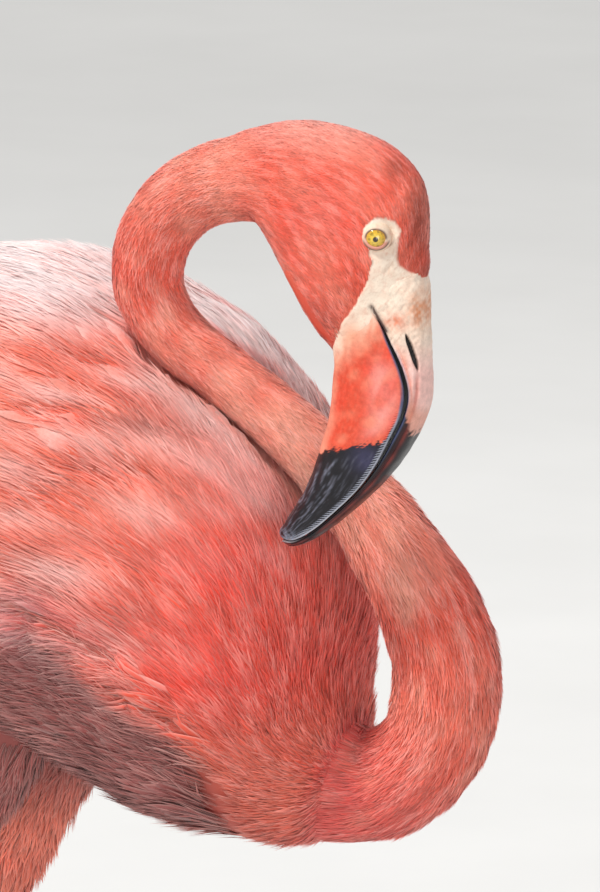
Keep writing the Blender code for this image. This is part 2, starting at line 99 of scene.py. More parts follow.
# The same body with the folded wings laid over it, out to the wings' tips.
MANTLE = TRUNK[:6] + [
    ((-75, -79), (-149, -248), 91), ((-104, -55), (-172, -238), 97.5), ((-146, -38), (-198, -228), 100),
    ((-190, -33), (-225, -212), 97.5), ((-236, -39), (-254, -193), 88.5), ((-279, -53), (-284, -178), 75.5),
    ((-322, -73), (-322, -168), 59.5), ((-366, -98), (-360, -162), 41.5), ((-410, -124), (-404, -161), 25),
    ((-448, -146), (-444, -161), 11),
]

# The lower edge of the folded wing and the breast's loose fringe, seen from the side.
WING_EDGE = [
    (-460, -161), (-395, -156), (-330, -162), (-260, -180), (-210, -190), (-170, -180), (-141, -162),
    (-122, -179), (-108, -194), (-90, -205), (-70, -232), (-60, -300),
]

# A leg from inside the belly to the foot: forward, sideways, up, half depth, half width.
LEG_SIDE = 40.0
LEG_STEP = {"left": -14.0, "right": 14.0}
LEG_TOP = [
    (-182, 2, -205, 40, 22), (-196, 2, -240, 33, 20), (-210, 1, -275, 23, 16), (-219, 1, -305, 14, 12),
    (-225, 0, -330, 9, 8.6),
]
SHIN = [
    (-225.5, 0, -330, 7.4, 6.8), (-234, 0, -385, 7.0, 6.2), (-242, 0, -440, 7.4, 6.6),
    (-246, 0, -466, 9.6, 8.2), (-248, 0, -484, 11.6, 9.6), (-246, 0, -502, 10.0, 8.4),
    (-242, 0, -524, 7.4, 6.6), (-235, 0, -590, 6.6, 5.8),
    (-226, 0, -680, 6.4, 5.6), (-219, 0, -755, 6.8, 6.2), (-217, 0, -776, 8.0, 7.2),
]
TOE_LENGTHS = (74.0, 90.0, 80.0)
TOE_TURNS = (29.0, 0.0, -29.0)
CLAW_LENGTH = 7.0
WING_REAR = 462.0  # how far back the wings' feathers may reach
LID_WIDE, LID_HIGH = 3.8, 3.3  # half the opening between the eyelids

# The bill's three profile curves from its foot to its tip, and its half widths.
CULMEN = [
    (15.4, -14), (15.4, -30), (16.0, -45), (16.4, -58), (15.8, -67), (12.2, -77),
    (5.9, -88.5), (-2.6, -99.5), (-12.5, -109.5), (-24, -119.6), (-34, -126.8), (-42, -130.0),
    (-47.6, -128.9),
]
MOUTH = [
    (-8, -24), (-1, -34), (3.6, -43.3), (8.4, -53), (10.6, -62), (9.0, -71.5),
    (4.1, -81.5), (-2.2, -92.4), (-10.0, -102.6), (-19.9, -112.2), (-29.9, -120.8), (-39.3, -126.4),
    (-46.8, -127.6),
]
GONYS = [
    (-25, -44), (-24, -54), (-24.8, -63), (-25.6, -71), (-27, -79), (-29.6, -87),
    (-32, -94.5), (-34.6, -101.5), (-38.0, -108.4), (-42.0, -114.8), (-45.4, -120.2), (-47.8, -123.9),
    (-48.2, -126.6),
]
UPPER_BILL_WIDTHS = (11.0, 9.8, 9.0, 8.8, 8.8, 8.8, 8.7, 8.5, 8.2, 7.7, 6.8, 5.0, 1.4)
LOWER_BILL_WIDTHS = (10.5, 10.8, 11.4, 12.0, 12.2, 12.0, 11.5, 10.8, 10.0, 9.0, 7.6, 5.4, 1.4)


def linear(red, green, blue):
    """A colour given as display values from 0 to 255, as linear light."""
    value = np.array([red, green, blue]) / 255
    return np.where(value <= 0.04045, value / 12.92, ((value + 0.055) / 1.055) ** 2.4)


FLAME = linear(238, 84, 58)  # crown sides, cheeks and the deeper patches of the coat
SCARLET = linear(255, 66, 52)  # the breast
# painted shade: a dark mauve laid on the belly under the wing's edge
BELLY_SHADE = linear(146, 80, 80)  # the shaded belly
CORAL = linear(238, 112, 88)
ROSE = linear(238, 92, 84)
SALMON = linear(243, 140, 116)
PINK = linear(246, 166, 150)
PEACH = linear(250, 176, 152)
BLUSH = linear(250, 220, 216)
# painted highlight: white laid on the back
HIGHLIGHT_WHITE = linear(254, 240, 240)
STREAK = linear(252, 186, 176)  # the pale strands of the breast and shoulders
LILAC = linear(190, 132, 146)
# painted shade: a deep red laid on the forehead and in the creases of the coat
SHADE_RED = linear(172, 66, 46)
CREAM = linear(246, 226, 206)
BILL_PALE = linear(242, 194, 184)
BILL_ORANGE = linear(216, 76, 50)
BLACK = linear(26, 24, 29)
SLATE = linear(120, 122, 138)
# pale horn for the plates' bead, also used for painted highlights near the upper bill's tip
BONE = linear(196, 198, 204)
LEG_PINK = linear(186, 124, 124)
LEG_GREY = linear(124, 96, 100)


# ---------------------------------------------------------------- lofts and hides


def smooth_rows(rows, count):
    """Rows along a smooth curve through the given rows: count even ones, or at shares from 0 to 1.

    Each stretch is a cubic whose slopes are those of the neighbouring rows (Catmull and Rom).
    """
    rows = np.asarray(rows, float)
    padded = np.vstack([2 * rows[0] - rows[1], rows, 2 * rows[-1] - rows[-2]])
    share = np.linspace(0, 1, count) if np.isscalar(count) else count
    where = share * (len(rows) - 1)
    first = np.minimum(where.astype(int), len(rows) - 2)
    t = (where - first)[:, None]
    before, start, end, after = (padded[first + k] for k in range(4))
    slope = (end - before) * t
    curve = (2 * before - 5 * start + 4 * end - after) * t**2
    return 0.5 * (2 * start + slope + curve + (3 * start - before - 3 * end + after) * t**3)


def unit(vectors):
    """Vectors of length one."""
    return vectors / np.maximum(np.linalg.norm(vectors, axis=-1, keepdims=True), 1e-9)


def smooth_step(low, high, value):
    """0 below low, 1 above high, and an even S between them."""
    t = np.clip((value - low) / (high - low), 0, 1)
    return t * t * (3 - 2 * t)


def ovals(back, front, half_width, sides, fullness=2.0):
    """Rings: middle + reach cos(turn) along the back-to-front line and half width sin(turn) along Y.

    Both cosine and sine are raised to 2 / fullness, which squares the ring's shoulders.
    """
    turn = np.linspace(0, 2 * math.pi, sides, endpoint=False)
    power = 2 / np.broadcast_to(np.asarray(fullness, float), (len(back),))[:, None]
    along = np.sign(np.cos(turn)) * np.abs(np.cos(turn)) ** power
    across = np.sign(np.sin(turn)) * np.abs(np.sin(turn)) ** power
    middle, reach = (back + front) / 2, (back - front) / 2
    rings = middle[:, None, :] + reach[:, None, :] * along[:, :, None]
    rings[:, :, 1] += np.asarray(half_width)[:, None] * across
    return rings


def body_rings(rows, count, sides, fullness):
    """Rings of a loft along the body's middle, given by (back point, belly point, half width) rows."""
    flat = smooth_rows([(*back, *front, width) for back, front, width in rows], count)
    level = np.zeros(count)
    back = np.column_stack([flat[:, 0], level, flat[:, 1]])
    front = np.column_stack([flat[:, 2], level, flat[:, 3]])
    return ovals(back, front, np.maximum(flat[:, 4], 2.0), sides, fullness)


def neck_and_head_rings(neck_count, head_count, sides):
    """One loft from the breast to the foot of the bill.

    A neck ring stands square to the neck's path in the side view. The head's rows follow on,
    and the join is evened by averaging neighbouring rings.
    """
    path = smooth_rows(NECK, neck_count)
    run = np.gradient(path[:, :3], axis=0)
    run[:, 1] = 0
    up = np.cross(unit(run), (0.0, 1.0, 0.0)) * path[:, 3:4]
    neck = np.column_stack([path[:, :3] + up, path[:, :3] - up, path[:, 3] * NECK_FLATNESS])
    head = smooth_rows([(*crown, *throat, width) for crown, throat, width in HEAD], head_count)
    side = np.full(head_count, HEAD_SIDE)
    head = np.column_stack([head[:, 0], side, head[:, 1], head[:, 2], side, head[:, 3], head[:, 4]])
    rows = np.vstack([neck, head[1:]])
    for _ in range(14):
        near = slice(neck_count - 12, neck_count + 20)
        evened = (np.roll(rows, 1, 0) + 2 * rows + np.roll(rows, -1, 0)) / 4
        rows[near] = evened[near]
    return ovals(rows[:, :3], rows[:, 3:6], rows[:, 6], sides)


class Hide:
    """A closed loft of rings, with its outward normals and the directions along and around it."""

    def __init__(self, rings):
        self.points = rings
        self.rows, self.sides = rings.shape[:2]
        self.along = np.gradient(rings, axis=0)
        self.around = (np.roll(rings, -1, 1) - np.roll(rings, 1, 1)) / 2
        normal = np.cross(self.along, self.around)
        outward = rings - rings.mean(axis=1, keepdims=True)
        self.normals = unit(normal) * np.sign((normal * outward).sum())

    def drawn_in(self, depth):
        """The hide moved inwards by a depth, which may change over it."""
        depth = np.broadcast_to(depth, self.points.shape[:2])[..., None]
        return Hide(self.points - self.normals * depth)

    def read(self, field, u, v):
        """A field's value between the rings and sides, by bilinear mixing."""
        u = np.clip(u, 0, self.rows - 1.0001)
        v = np.mod(v, self.sides)
        row, side = u.astype(int), v.astype(int) % self.sides
        a, b = (u - row)[:, None], (v - np.floor(v))[:, None]
        after = (side + 1) % self.sides
        near = field[row, side] * (1 - b) + field[row, after] * b
        far = field[row + 1, side] * (1 - b) + field[row + 1, after] * b
        return near * (1 - a) + far * a

    def scatter(self, count, density, seed):
        """count places spread evenly over the hide's area, in proportion to a density on its points.

        The even spread is the R2 sequence, carried first to the rings and then round each ring
        by the running totals of the area.
        """
        area = np.linalg.norm(np.cross(self.along, self.around), axis=-1) * density + 1e-12
        area[-1] = 1e-12
        total = np.concatenate([[0], np.cumsum(area.sum(1))])
        place = np.arange(count) + 1000 * seed
        first = (0.5 + place * 0.7548776662466927) % 1
        second = (0.5 + place * 0.5698402909980532) % 1
        u = np.interp(first, total / total[-1], np.arange(self.rows + 1.0))
        row = np.clip(u.astype(int), 0, self.rows - 2)
        running = np.cumsum(area, axis=1) / area.sum(1)[:, None]
        running = np.column_stack([np.zeros(self.rows), running]) + np.arange(self.rows)[:, None]
        steps = np.tile(np.arange(self.sides + 1.0), self.rows)
        v = np.interp(row + second * 0.99999, running.ravel(), steps)
        rng = np.random.default_rng(seed)
        u = np.clip(u + rng.uniform(-0.5, 0.5, count), 0, self.rows - 1.01)
        return u, v + rng.uniform(-0.5, 0.5, count)


def comb(hide, u, v, turn, length, steps, forward):
    """The places, normals and directions of blades that lie along a hide from their roots.

    Each step moves along the rings' direction turned by an angle in the hide's plane. The step
    is changed from millimetres to rings and sides by the hide's own stretch at that place.
    """
    places, normals, runs = [], [], []
    for _ in range(steps + 1):
        normal = unit(hide.read(hide.normals, u, v))
        along, around = hide.read(hide.along, u, v), hide.read(hide.around, u, v)
        past = (u - np.clip(u, 0, hide.rows - 1))[:, None]
        ahead = unit(along - normal * (along * normal).sum(-1, keepdims=True)) * forward
        run = ahead * np.cos(turn)[:, None] + np.cross(normal, ahead) * np.sin(turn)[:, None]
        places.append(hide.read(hide.points, u, v) + along * past)
        normals.append(normal)
        runs.append(run)
        step = run * (length / steps)[:, None]
        aa, ar, rr = (along * along).sum(-1), (along * around).sum(-1), (around * around).sum(-1)
        on_along, on_around = (along * step).sum(-1), (around * step).sum(-1)
        spread = np.maximum(aa * rr - ar * ar, 1e-4)
        u = u + np.clip((on_along * rr - on_around * ar) / spread, -12, 12)
        v = v + np.clip((on_around * aa - on_along * ar) / spread, -6, 6)
    return np.stack(places, 1), np.stack(normals, 1), np.stack(runs, 1)


def ripple(points, size, seed):
    """Smooth noise between about -1 and 1: nine sine waves in seeded directions, averaged."""
    rng = np.random.default_rng(seed)
    ways = unit(rng.normal(size=(9, 3))) * rng.uniform(0.6, 1.5, (9, 1)) * 2 * math.pi / size
    return np.sin(points @ ways.T + rng.uniform(0, 6.28, 9)).sum(-1) / 4.2


# ---------------------------------------------------------------- meshes


def place_of_solids():
    """How far the drawing's origin lies from the solids' origin, found from an eye."""
    low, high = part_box("eye_right")
    middle = np.array((low + high) / 2)
    return middle - np.array([EYE_FORWARD, HEAD_SIDE - EYE_DEPTH, 0.0]) * MM


def set_value(mesh, name, value):
    """Stores a number per point on a mesh, under a name."""
    layer = mesh.attributes.new(name, "FLOAT", "POINT")
    layer.data.foreach_set("value", np.asarray(value, np.float32).ravel())


def set_marking(mesh, colour):
    """Stores the marking, a colour per point, on a mesh."""
    layer = mesh.attributes.new("marking", "FLOAT_COLOR", "POINT")
    full = np.column_stack([colour.reshape(-1, 3), np.ones(len(mesh.vertices))])
    layer.data.foreach_set("color", full.astype(np.float32).ravel())


def make_mesh(name, points, faces, values=None, marking=None, uv=None, normals=None):
    """A mesh from whole arrays: points in millimetres and faces with the same number of corners."""
    mesh = bpy.data.meshes.new(name)
    place = points.reshape(-1, 3) * MM + SHIFT
    mesh.vertices.add(len(place))
    mesh.vertices.foreach_set("co", place.astype(np.float32).ravel())
    mesh.loops.add(faces.size)
    mesh.loops.foreach_set("vertex_index", faces.astype(np.int32).ravel())
    mesh.polygons.add(len(faces))
    mesh.polygons.foreach_set("loop_start", np.arange(0, faces.size, faces.shape[1], dtype=np.int32))
    mesh.update(calc_edges=True)
    for key, value in (values or {}).items():
        set_value(mesh, key, value)
    if marking is not None:
        set_marking(mesh, marking)
    if uv is not None:
        layer = mesh.uv_layers.new(name="OFBake")
        layer.data.foreach_set("uv", uv.reshape(-1, 2)[faces.ravel()].astype(np.float32).ravel())
    mesh.shade_smooth()
    if normals is not None:
        mesh.normals_split_custom_set_from_vertices(normals.reshape(-1, 3).astype(np.float32))
    return mesh


def add_piece(name, mesh, finish):
    """Shows a mesh as a piece of the bird."""
    piece = bpy.data.objects.new(name, mesh)
    bpy.context.scene.collection.objects.link(piece)
    mesh.materials.clear()
    mesh.materials.append(finish)
    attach(piece, "root")
    return piece


def grid_faces(rows, columns, wrap=False, close=False):
    """The corners of the quads between neighbouring rows and columns of a grid.

    wrap joins the last column to the first, and close joins the last row to the first.
    """
    index = np.arange(rows * columns).reshape(rows, columns)
    if wrap:
        index = np.column_stack([index, index[:, :1]])
    if close:
        index = np.vstack([index, index[:1]])
    corners = (index[:-1, :-1], index[:-1, 1:], index[1:, 1:], index[1:, :-1])
    return np.stack(corners, -1).reshape(-1, 4)


def with_poles(field):
    """A field on rings as a flat list, with the means of its first and last ring added for the poles."""
    flat = field.reshape(-1, field.shape[-1])
    return np.concatenate([flat, field[:1].mean(1), field[-1:].mean(1)])


def shell_faces(rings):
    """Points and outward triangles of rings whose two ends are closed by a fan round a pole."""
    rows, sides = rings.shape[:2]
    points = with_poles(rings)
    first = np.arange(sides)
    after = (first + 1) % sides
    last = first + (rows - 1) * sides
    low = np.column_stack([np.full(sides, rows * sides), after, first])
    high = np.column_stack([after + (rows - 1) * sides, np.full(sides, rows * sides + 1), last])
    quads = grid_faces(rows, sides, wrap=True)
    triangles = np.concatenate([quads[:, [0, 1, 2]], quads[:, [0, 2, 3]], low, high])
    corner = points[triangles] - points.mean(0)
    if (corner[:, 0] * np.cross(corner[:, 1], corner[:, 2])).sum() < 0:
        triangles = triangles[:, ::-1]
    return points, triangles


def closed_shell(name, rings):
    """A helper object of rings with closed ends."""
    shell = bpy.data.objects.new(name, make_mesh(name, *shell_faces(rings)))
    bpy.context.scene.collection.objects.link(shell)
    return shell


def applied(obj):
    """The object's mesh with its modifiers applied."""
    graph = bpy.context.evaluated_depsgraph_get()
    graph.update()
    return bpy.data.meshes.new_from_object(obj.evaluated_get(graph), depsgraph=graph)


def welded(name, shells):
    """One mesh from overlapping closed shells, by Boolean union."""
    first = shells[0]
    for other in shells[1:]:
        join = first.modifiers.new("join_" + other.name, "BOOLEAN")
        join.operation, join.solver, join.object = "UNION", "EXACT", other
    mesh = applied(first)
    mesh.name = name
    for shell in shells:
        bpy.data.objects.remove(shell, do_unlink=True)
    return mesh


def mesh_points(mesh):
    """A mesh's points in the drawing's millimetres."""
    flat = np.empty(len(mesh.vertices) * 3, np.float32)
    mesh.vertices.foreach_get("co", flat)
    return (flat.reshape(-1, 3) - SHIFT) / MM


# ---------------------------------------------------------------- markings

# The bare face's back and front edges below the eye: height and forward place.
FACE_BACK = [
    (-60, -21), (-43.8, -19.5), (-36.5, -16.8), (-32.2, -12.8), (-26.8, -9.0), (-19.4, -4.8),
    (-15.3, -3.2), (-11.3, -2.6), (-6.3, -3.2), (0, -3.6),
]
FACE_FRONT = [
    (-60, 40), (-19.5, 34), (-18.2, 22), (-16.6, 15.4), (-14.8, 11.8), (-13, 9.3),
    (-11.2, 7.6), (-8.9, 7.0), (-4.7, 7.3), (0, 7.8),
]
NECK_PATH = smooth_rows(NECK, 160)
MOUTH_CORNER = ((-3.4, -28.6), (2.0, -38.0))  # the crease from the mouth's corner to the bill's edge

# Lines of the face in the side view: two ends, a breadth, and how far the skin stands out there.
FACE_LINES = [
    (*MOUTH_CORNER, 0.9, -1.1), ((-37, -14), (-19, -44), 1.8, -1.6), ((-40, -20), (-25, -46), 3.2, 0.9),
    ((12.0, -3), (16.5, -17), 1.6, -0.6), ((8.6, -6), (3.0, -14), 0.8, -0.45),
]

# Creases between the tracts of the back and shoulders, from front to rear: two ends and a breadth.
FOLDS = [
    ((-116, -47), (-150, -45), 0.9), ((-118, -62), (-146, -58), 1.1), ((-98, -71), (-150, -79), 1.3),
    ((-84, -88), (-104, -86), 1.4), ((-100, -85), (-122, -82), 2.4), ((-126, -98), (-150, -118), 2.2),
    ((-89, -104), (-104, -101), 1.0), ((-104, -101), (-126, -99), 1.3), ((-106, -177), (-150, -154), 1.7),
    ((-116, -153), (-132, -150), 1.1), ((-120, -177), (-140, -172), 1.2), ((-86, -203), (-112, -188), 1.4),
    ((-165, -70), (-205, -78), 1.6), ((-160, -104), (-210, -112), 1.8), ((-170, -138), (-215, -136), 1.6),
]


def edge_height(x):
    """The height of the folded wing's lower edge at a forward place."""
    return np.interp(x, *zip(*WING_EDGE))


def bareness(points):
    """1 on the bare skin round the eye, down the lore and round the bill's foot, and 0 on feathers.

    In the side view it is the union of a disc round the eye and the band between the face's back
    and front edges, with a ragged border. A narrow point of feathers runs down the forehead.
    """
    x, z = points[..., 0], points[..., 2]
    side = np.abs(points[..., 1] - HEAD_SIDE)
    back = np.interp(z, *zip(*FACE_BACK))
    front = np.interp(z, *zip(*FACE_FRONT))
    disc = np.maximum(6.8 - np.hypot(x - 1.8, z - 1.0), 5.5 - np.hypot(x - IRIS_FORWARD, z))
    band = np.minimum(np.minimum(x - back, front - x), 2 - z)
    inside = np.maximum(disc, band) - 9 * smooth_step(6, 2, side) * smooth_step(-20.5, -18, z)
    inside = inside + 0.35 * ripple(points, 3.0, 3)
    return smooth_step(-0.7, 0.7, inside) * (side < 22) * (x > -26) * (z > -62)


def bare_colours(points):
    """Cream skin that flushes to orange at the foot of the bill, above and below the mouth.

    Painted shade darkens a crease under the eye, and another from the mouth's corner to the bill's edge.
    """
    x, z = points[..., 0], points[..., 2]
    colour = plain(CREAM, points)
    colour = mix(colour, linear(238, 206, 184), np.clip(0.6 * ripple(points, 6.0, 7), 0, 1))
    mottle = np.clip(0.75 + 0.3 * ripple(points, 5.0, 6) + 0.25 * ripple(points, 1.8, 5), 0, 1)
    colour = painted(
        colour,
        (linear(216, 132, 84), mottle * spot(points, (14.0, HEAD_SIDE, -29.5), (5.0, 60, 11))),
        (linear(230, 132, 98), mottle * spot(points, (5.4, HEAD_SIDE, -34.0), (7.0, 60, 5.5))),
        (linear(244, 166, 132), 0.95 * spot(points, (-12, HEAD_SIDE, -42), (8, 60, 9))),
    )
    speck = smooth_step(0.25, 0.7, ripple(points, 1.1, 8)) * smooth_step(-0.2, 0.5, ripple(points, 6.0, 9))
    colour = mix(colour, linear(214, 160, 132), 0.3 * speck)
    wrinkle = ridge_line(ripple(points * (1.0, 1.0, 0.45), 2.4, 10), 0.16)
    wrinkle = wrinkle * spot(points, (6, HEAD_SIDE, -10), (7, 60, 9))
    colour = mix(colour, linear(196, 150, 116), 0.5 * wrinkle)
    from_eye = np.hypot(x - IRIS_FORWARD, z)
    # painted shade in the crease under the eye
    under_eye = ridge_line(from_eye - 4.7, 0.6) * smooth_step(-1.2, -3.4, z)
    colour = mix(colour, linear(118, 70, 52), 0.8 * under_eye)
    # painted shade in the crease from the mouth's corner to the bill's edge
    corner = ridge_line(line_gap(x, z, *MOUTH_CORNER), 0.85)
    return mix(colour, linear(52, 20, 20), 0.95 * corner)


def line_gap(x, z, start, end):
    """The distance in the side view from a straight line between two places."""
    run = np.array(end, float) - start
    share = np.clip(((x - start[0]) * run[0] + (z - start[1]) * run[1]) / (run @ run), 0, 1)
    return np.hypot(x - start[0] - share * run[0], z - start[1] - share * run[1])


def ridge_line(gap, breadth):
    """1 on a line and falling to 0 within a breadth of it."""
    return np.exp(-((gap / breadth) ** 2))


def mix(colour, other, share):
    """colour carried towards other by a share per point."""
    return colour + (other - colour) * share[..., None]


def plain(tone, points):
    """One tone for every point."""
    return np.broadcast_to(tone, points.shape)


def painted(colour, *coats):
    """A colour with coats laid over it in turn, each given as a tone and its share per point."""
    for tone, share in coats:
        colour = mix(colour, tone, share)
    return colour


def spot(points, place, radii):
    """A soft spot: 1 at a place, falling to 0 at the radii along X, Y and Z."""
    gap = (points - np.array(place)) / np.array(radii)
    return np.exp(-2.0 * (gap**2).sum(-1))


def head_colours(points):
    """Flame cheeks, a paler crown, and painted shade: a dark stripe up the forehead, a dark spot at the
    bill's foot and a deeper red in the throat's fold.
    """
    colour = painted(
        plain(CORAL, points),
        (FLAME, np.clip(0.45 + 0.7 * ripple(points, 20, 11), 0, 1)),
        (PINK, 0.85 * spot(points, (-32, HEAD_SIDE, 44), (60, 60, 17))),
        (ROSE, 0.5 * spot(points, (-22, HEAD_SIDE, 8), (20, 60, 16))),
        (SALMON, 0.35 * spot(points, (-16, HEAD_SIDE, -22), (10, 60, 14))),
    )
    # painted shade: a dark stripe up the forehead, and below it a dark spot where the forehead meets the bill
    stripe = spot(points, (13.5, HEAD_SIDE - 5, 6), (4.5, 8, 20))
    stripe += 0.8 * spot(points, (4.0, HEAD_SIDE - 6, 26), (8, 8, 8))
    colour = painted(
        colour,
        (SHADE_RED, 0.9 * np.clip(stripe, 0, 1)),
        (linear(108, 40, 28), 0.8 * spot(points, (16.5, HEAD_SIDE - 6, -15), (3.2, 8, 4.5))),
        (PINK, 0.6 * spot(points, (16, HEAD_SIDE + 3, 2), (5, 6, 26))),
    )
    # painted shade: a deeper red in the throat's fold
    fold = spot(points, (-26, HEAD_SIDE - 9, -34), (11, 14, 9))
    return mix(colour, linear(206, 78, 60), 0.6 * fold)


def neck_colours(points, station):
    """Colours along the neck, with a painted highlight on its lower bend: station runs from 0 at the breast
    to 1 at the back of the head.
    """
    marks = np.array([0, 0.16, 0.27, 0.36, 0.44, 0.52, 0.60, 0.70, 0.80, 0.9, 1.0])
    tones = [ROSE, ROSE, CORAL, FLAME, SALMON, PEACH, SALMON, CORAL, FLAME, CORAL, SALMON]
    colour = np.stack([np.interp(station, marks, [tone[k] for tone in tones]) for k in range(3)], -1)
    return painted(
        colour,
        # painted highlight: a pale peach spot on the near side of the neck's lower bend
        (PEACH, 0.8 * spot(points, (-8, -26, -150), (14, 26, 17))),
        (PEACH, 0.5 * spot(points, (-60, -42, -88), (26, 14, 7))),
        (FLAME, np.clip(0.45 * ripple(points * (1, 1, 0.8), 13, 20), 0, 1)),
        (PEACH, np.clip(0.35 * ripple(points, 15, 21), 0, 1)),
    )


def fold_marks(points):
    """1 along the deep creases between the tracts of scapulars and coverts, fading to 0 beside them."""
    x, z = points[..., 0], points[..., 2] + 0.8 * ripple(points, 14.0, 36)
    gaps = [line_gap(x, z, start, end) / breadth for start, end, breadth in FOLDS]
    return np.exp(-np.min(gaps, axis=0) ** 2) * smooth_step(-70, -84, x)


def body_colours(points):
    """Red breast, pale shoulders, a nearly white back, coral scapulars and lilac lower coverts, with painted
    highlights on the back and shoulder and painted shade on the belly and in the creases.
    """
    x, y, z = points[..., 0], points[..., 1], points[..., 2]
    colour = painted(
        plain(CORAL, points),
        (SALMON, 0.7 * smooth_step(-135, -190, x)),
        (SCARLET, 0.95 * spot(points, (-70, 0, -150), (44, 200, 54))),
        (SCARLET, 0.9 * spot(points, (-76, 0, -186), (56, 200, 30))),
    )
    shoulder = z + 62 + 0.98 * (x + 92)  # along the line where the neck lies on the body
    colour = painted(
        colour,
        # painted highlight: a pale band along the shoulder's edge where the neck lies on it
        (BLUSH, 0.8 * ridge_line(shoulder + 8, 16) * (x > -118)),
        (PINK, 0.7 * spot(points, (-96, 0, -116), (20, 200, 12))),
        # painted highlight: the back's top, and the back behind the neck, whitened
        (HIGHLIGHT_WHITE, 0.95 * smooth_step(-58, -44, z + 0.1 * (x + 130)) * smooth_step(-88, -102, x)),
        (HIGHLIGHT_WHITE, 0.8 * smooth_step(-22, -6, y) * smooth_step(-100, -60, z) * smooth_step(-60, -80, x)),
        (PINK, 0.7 * spot(points, (-128, 0, -134), (26, 200, 12))),
        (LILAC, spot(points, (-146, 0, -164), (44, 200, 26))),
        (ROSE, 0.6 * smooth_step(-260, -390, x)),
    )
    long_patches = ripple(points * (0.45, 1, 1), 17, 31)
    lower = smooth_step(-40, -54, z + 0.1 * (x + 130))
    colour = mix(colour, FLAME, np.clip(0.6 * long_patches, 0, 0.7) * lower)
    colour = mix(colour, BLUSH, np.clip(-0.5 * long_patches, 0, 1) * smooth_step(-190, -90, z))
    # painted shade on the belly below the wing's edge and the breast's fringe
    belly = smooth_step(4, -12, z - edge_height(x)) * smooth_step(-66, -92, x) * smooth_step(-330, -250, x)
    belly = belly * smooth_step(-285, -245, z)
    colour = mix(colour, BELLY_SHADE, 0.85 * belly)
    # painted shade in the creases between the tracts of scapulars and coverts
    return mix(colour, SHADE_RED, 0.85 * fold_marks(points))


def coat_colours(points):
    """The markings of the body, the neck and the head, each carried softly into the next."""
    station, gap = neck_station(points)
    colour = mix(body_colours(points), neck_colours(points, station), smooth_step(6, -1, gap))
    near_head = (points[..., 2] > -62) * (np.abs(points[..., 1] - HEAD_SIDE) < 24)
    return mix(colour, head_colours(points), smooth_step(-80, -44, points[..., 0]) * near_head)


def leg_colours(points):
    """Grey-pink shanks with a redder ankle and greyer feet."""
    z = points[..., 2]
    colour = plain(LEG_PINK, points)
    ankle = ridge_line(z - ANKLE, 24)
    colour = mix(colour, linear(196, 98, 96), 0.6 * ankle)
    return mix(colour, LEG_GREY, np.clip(smooth_step(-700, -792, z) + 0.4 * ripple(points, 15, 41), 0, 1))


def neck_station(points):
    """Each point's nearest place along the neck, from 0 to 1, and its distance outside the neck."""
    flat = points.reshape(-1, 3)
    station, gap = np.zeros(len(flat)), np.zeros(len(flat))
    for chunk in np.array_split(np.arange(len(flat)), max(1, len(flat) // 20000)):
        away = np.linalg.norm(flat[chunk, None, :] - NECK_PATH[None, :, :3], axis=-1) - NECK_PATH[:, 3]
        nearest = away.argmin(1)
        station[chunk] = nearest / (len(NECK_PATH) - 1)
        gap[chunk] = away[np.arange(len(chunk)), nearest]
    return station.reshape(points.shape[:-1]), gap.reshape(points.shape[:-1])


def skin_colours(points):
    """The coat's markings, with the bare face and the legs."""
    colour = mix(coat_colours(points), bare_colours(points), bareness(points))
    return mix(colour, leg_colours(points), smooth_step(THIGH_END, THIGH_END - 12, points[..., 2]))


# ---------------------------------------------------------------- materials


def new_material(name, roughness, coat=0.0, sheen=0.0):
    """An empty node material with a Principled shader."""
    made = bpy.data.materials.new(name)
    made.use_nodes = True
    shader = made.node_tree.nodes["Principled BSDF"]
    shader.inputs["Roughness"].default_value = roughness
    shader.inputs["Coat Weight"].default_value = coat
    shader.inputs["Coat Roughness"].default_value = 0.12
    shader.inputs["Sheen Weight"].default_value = sheen
    shader.inputs["Sheen Roughness"].default_value = 0.45
    return made, made.node_tree, shader


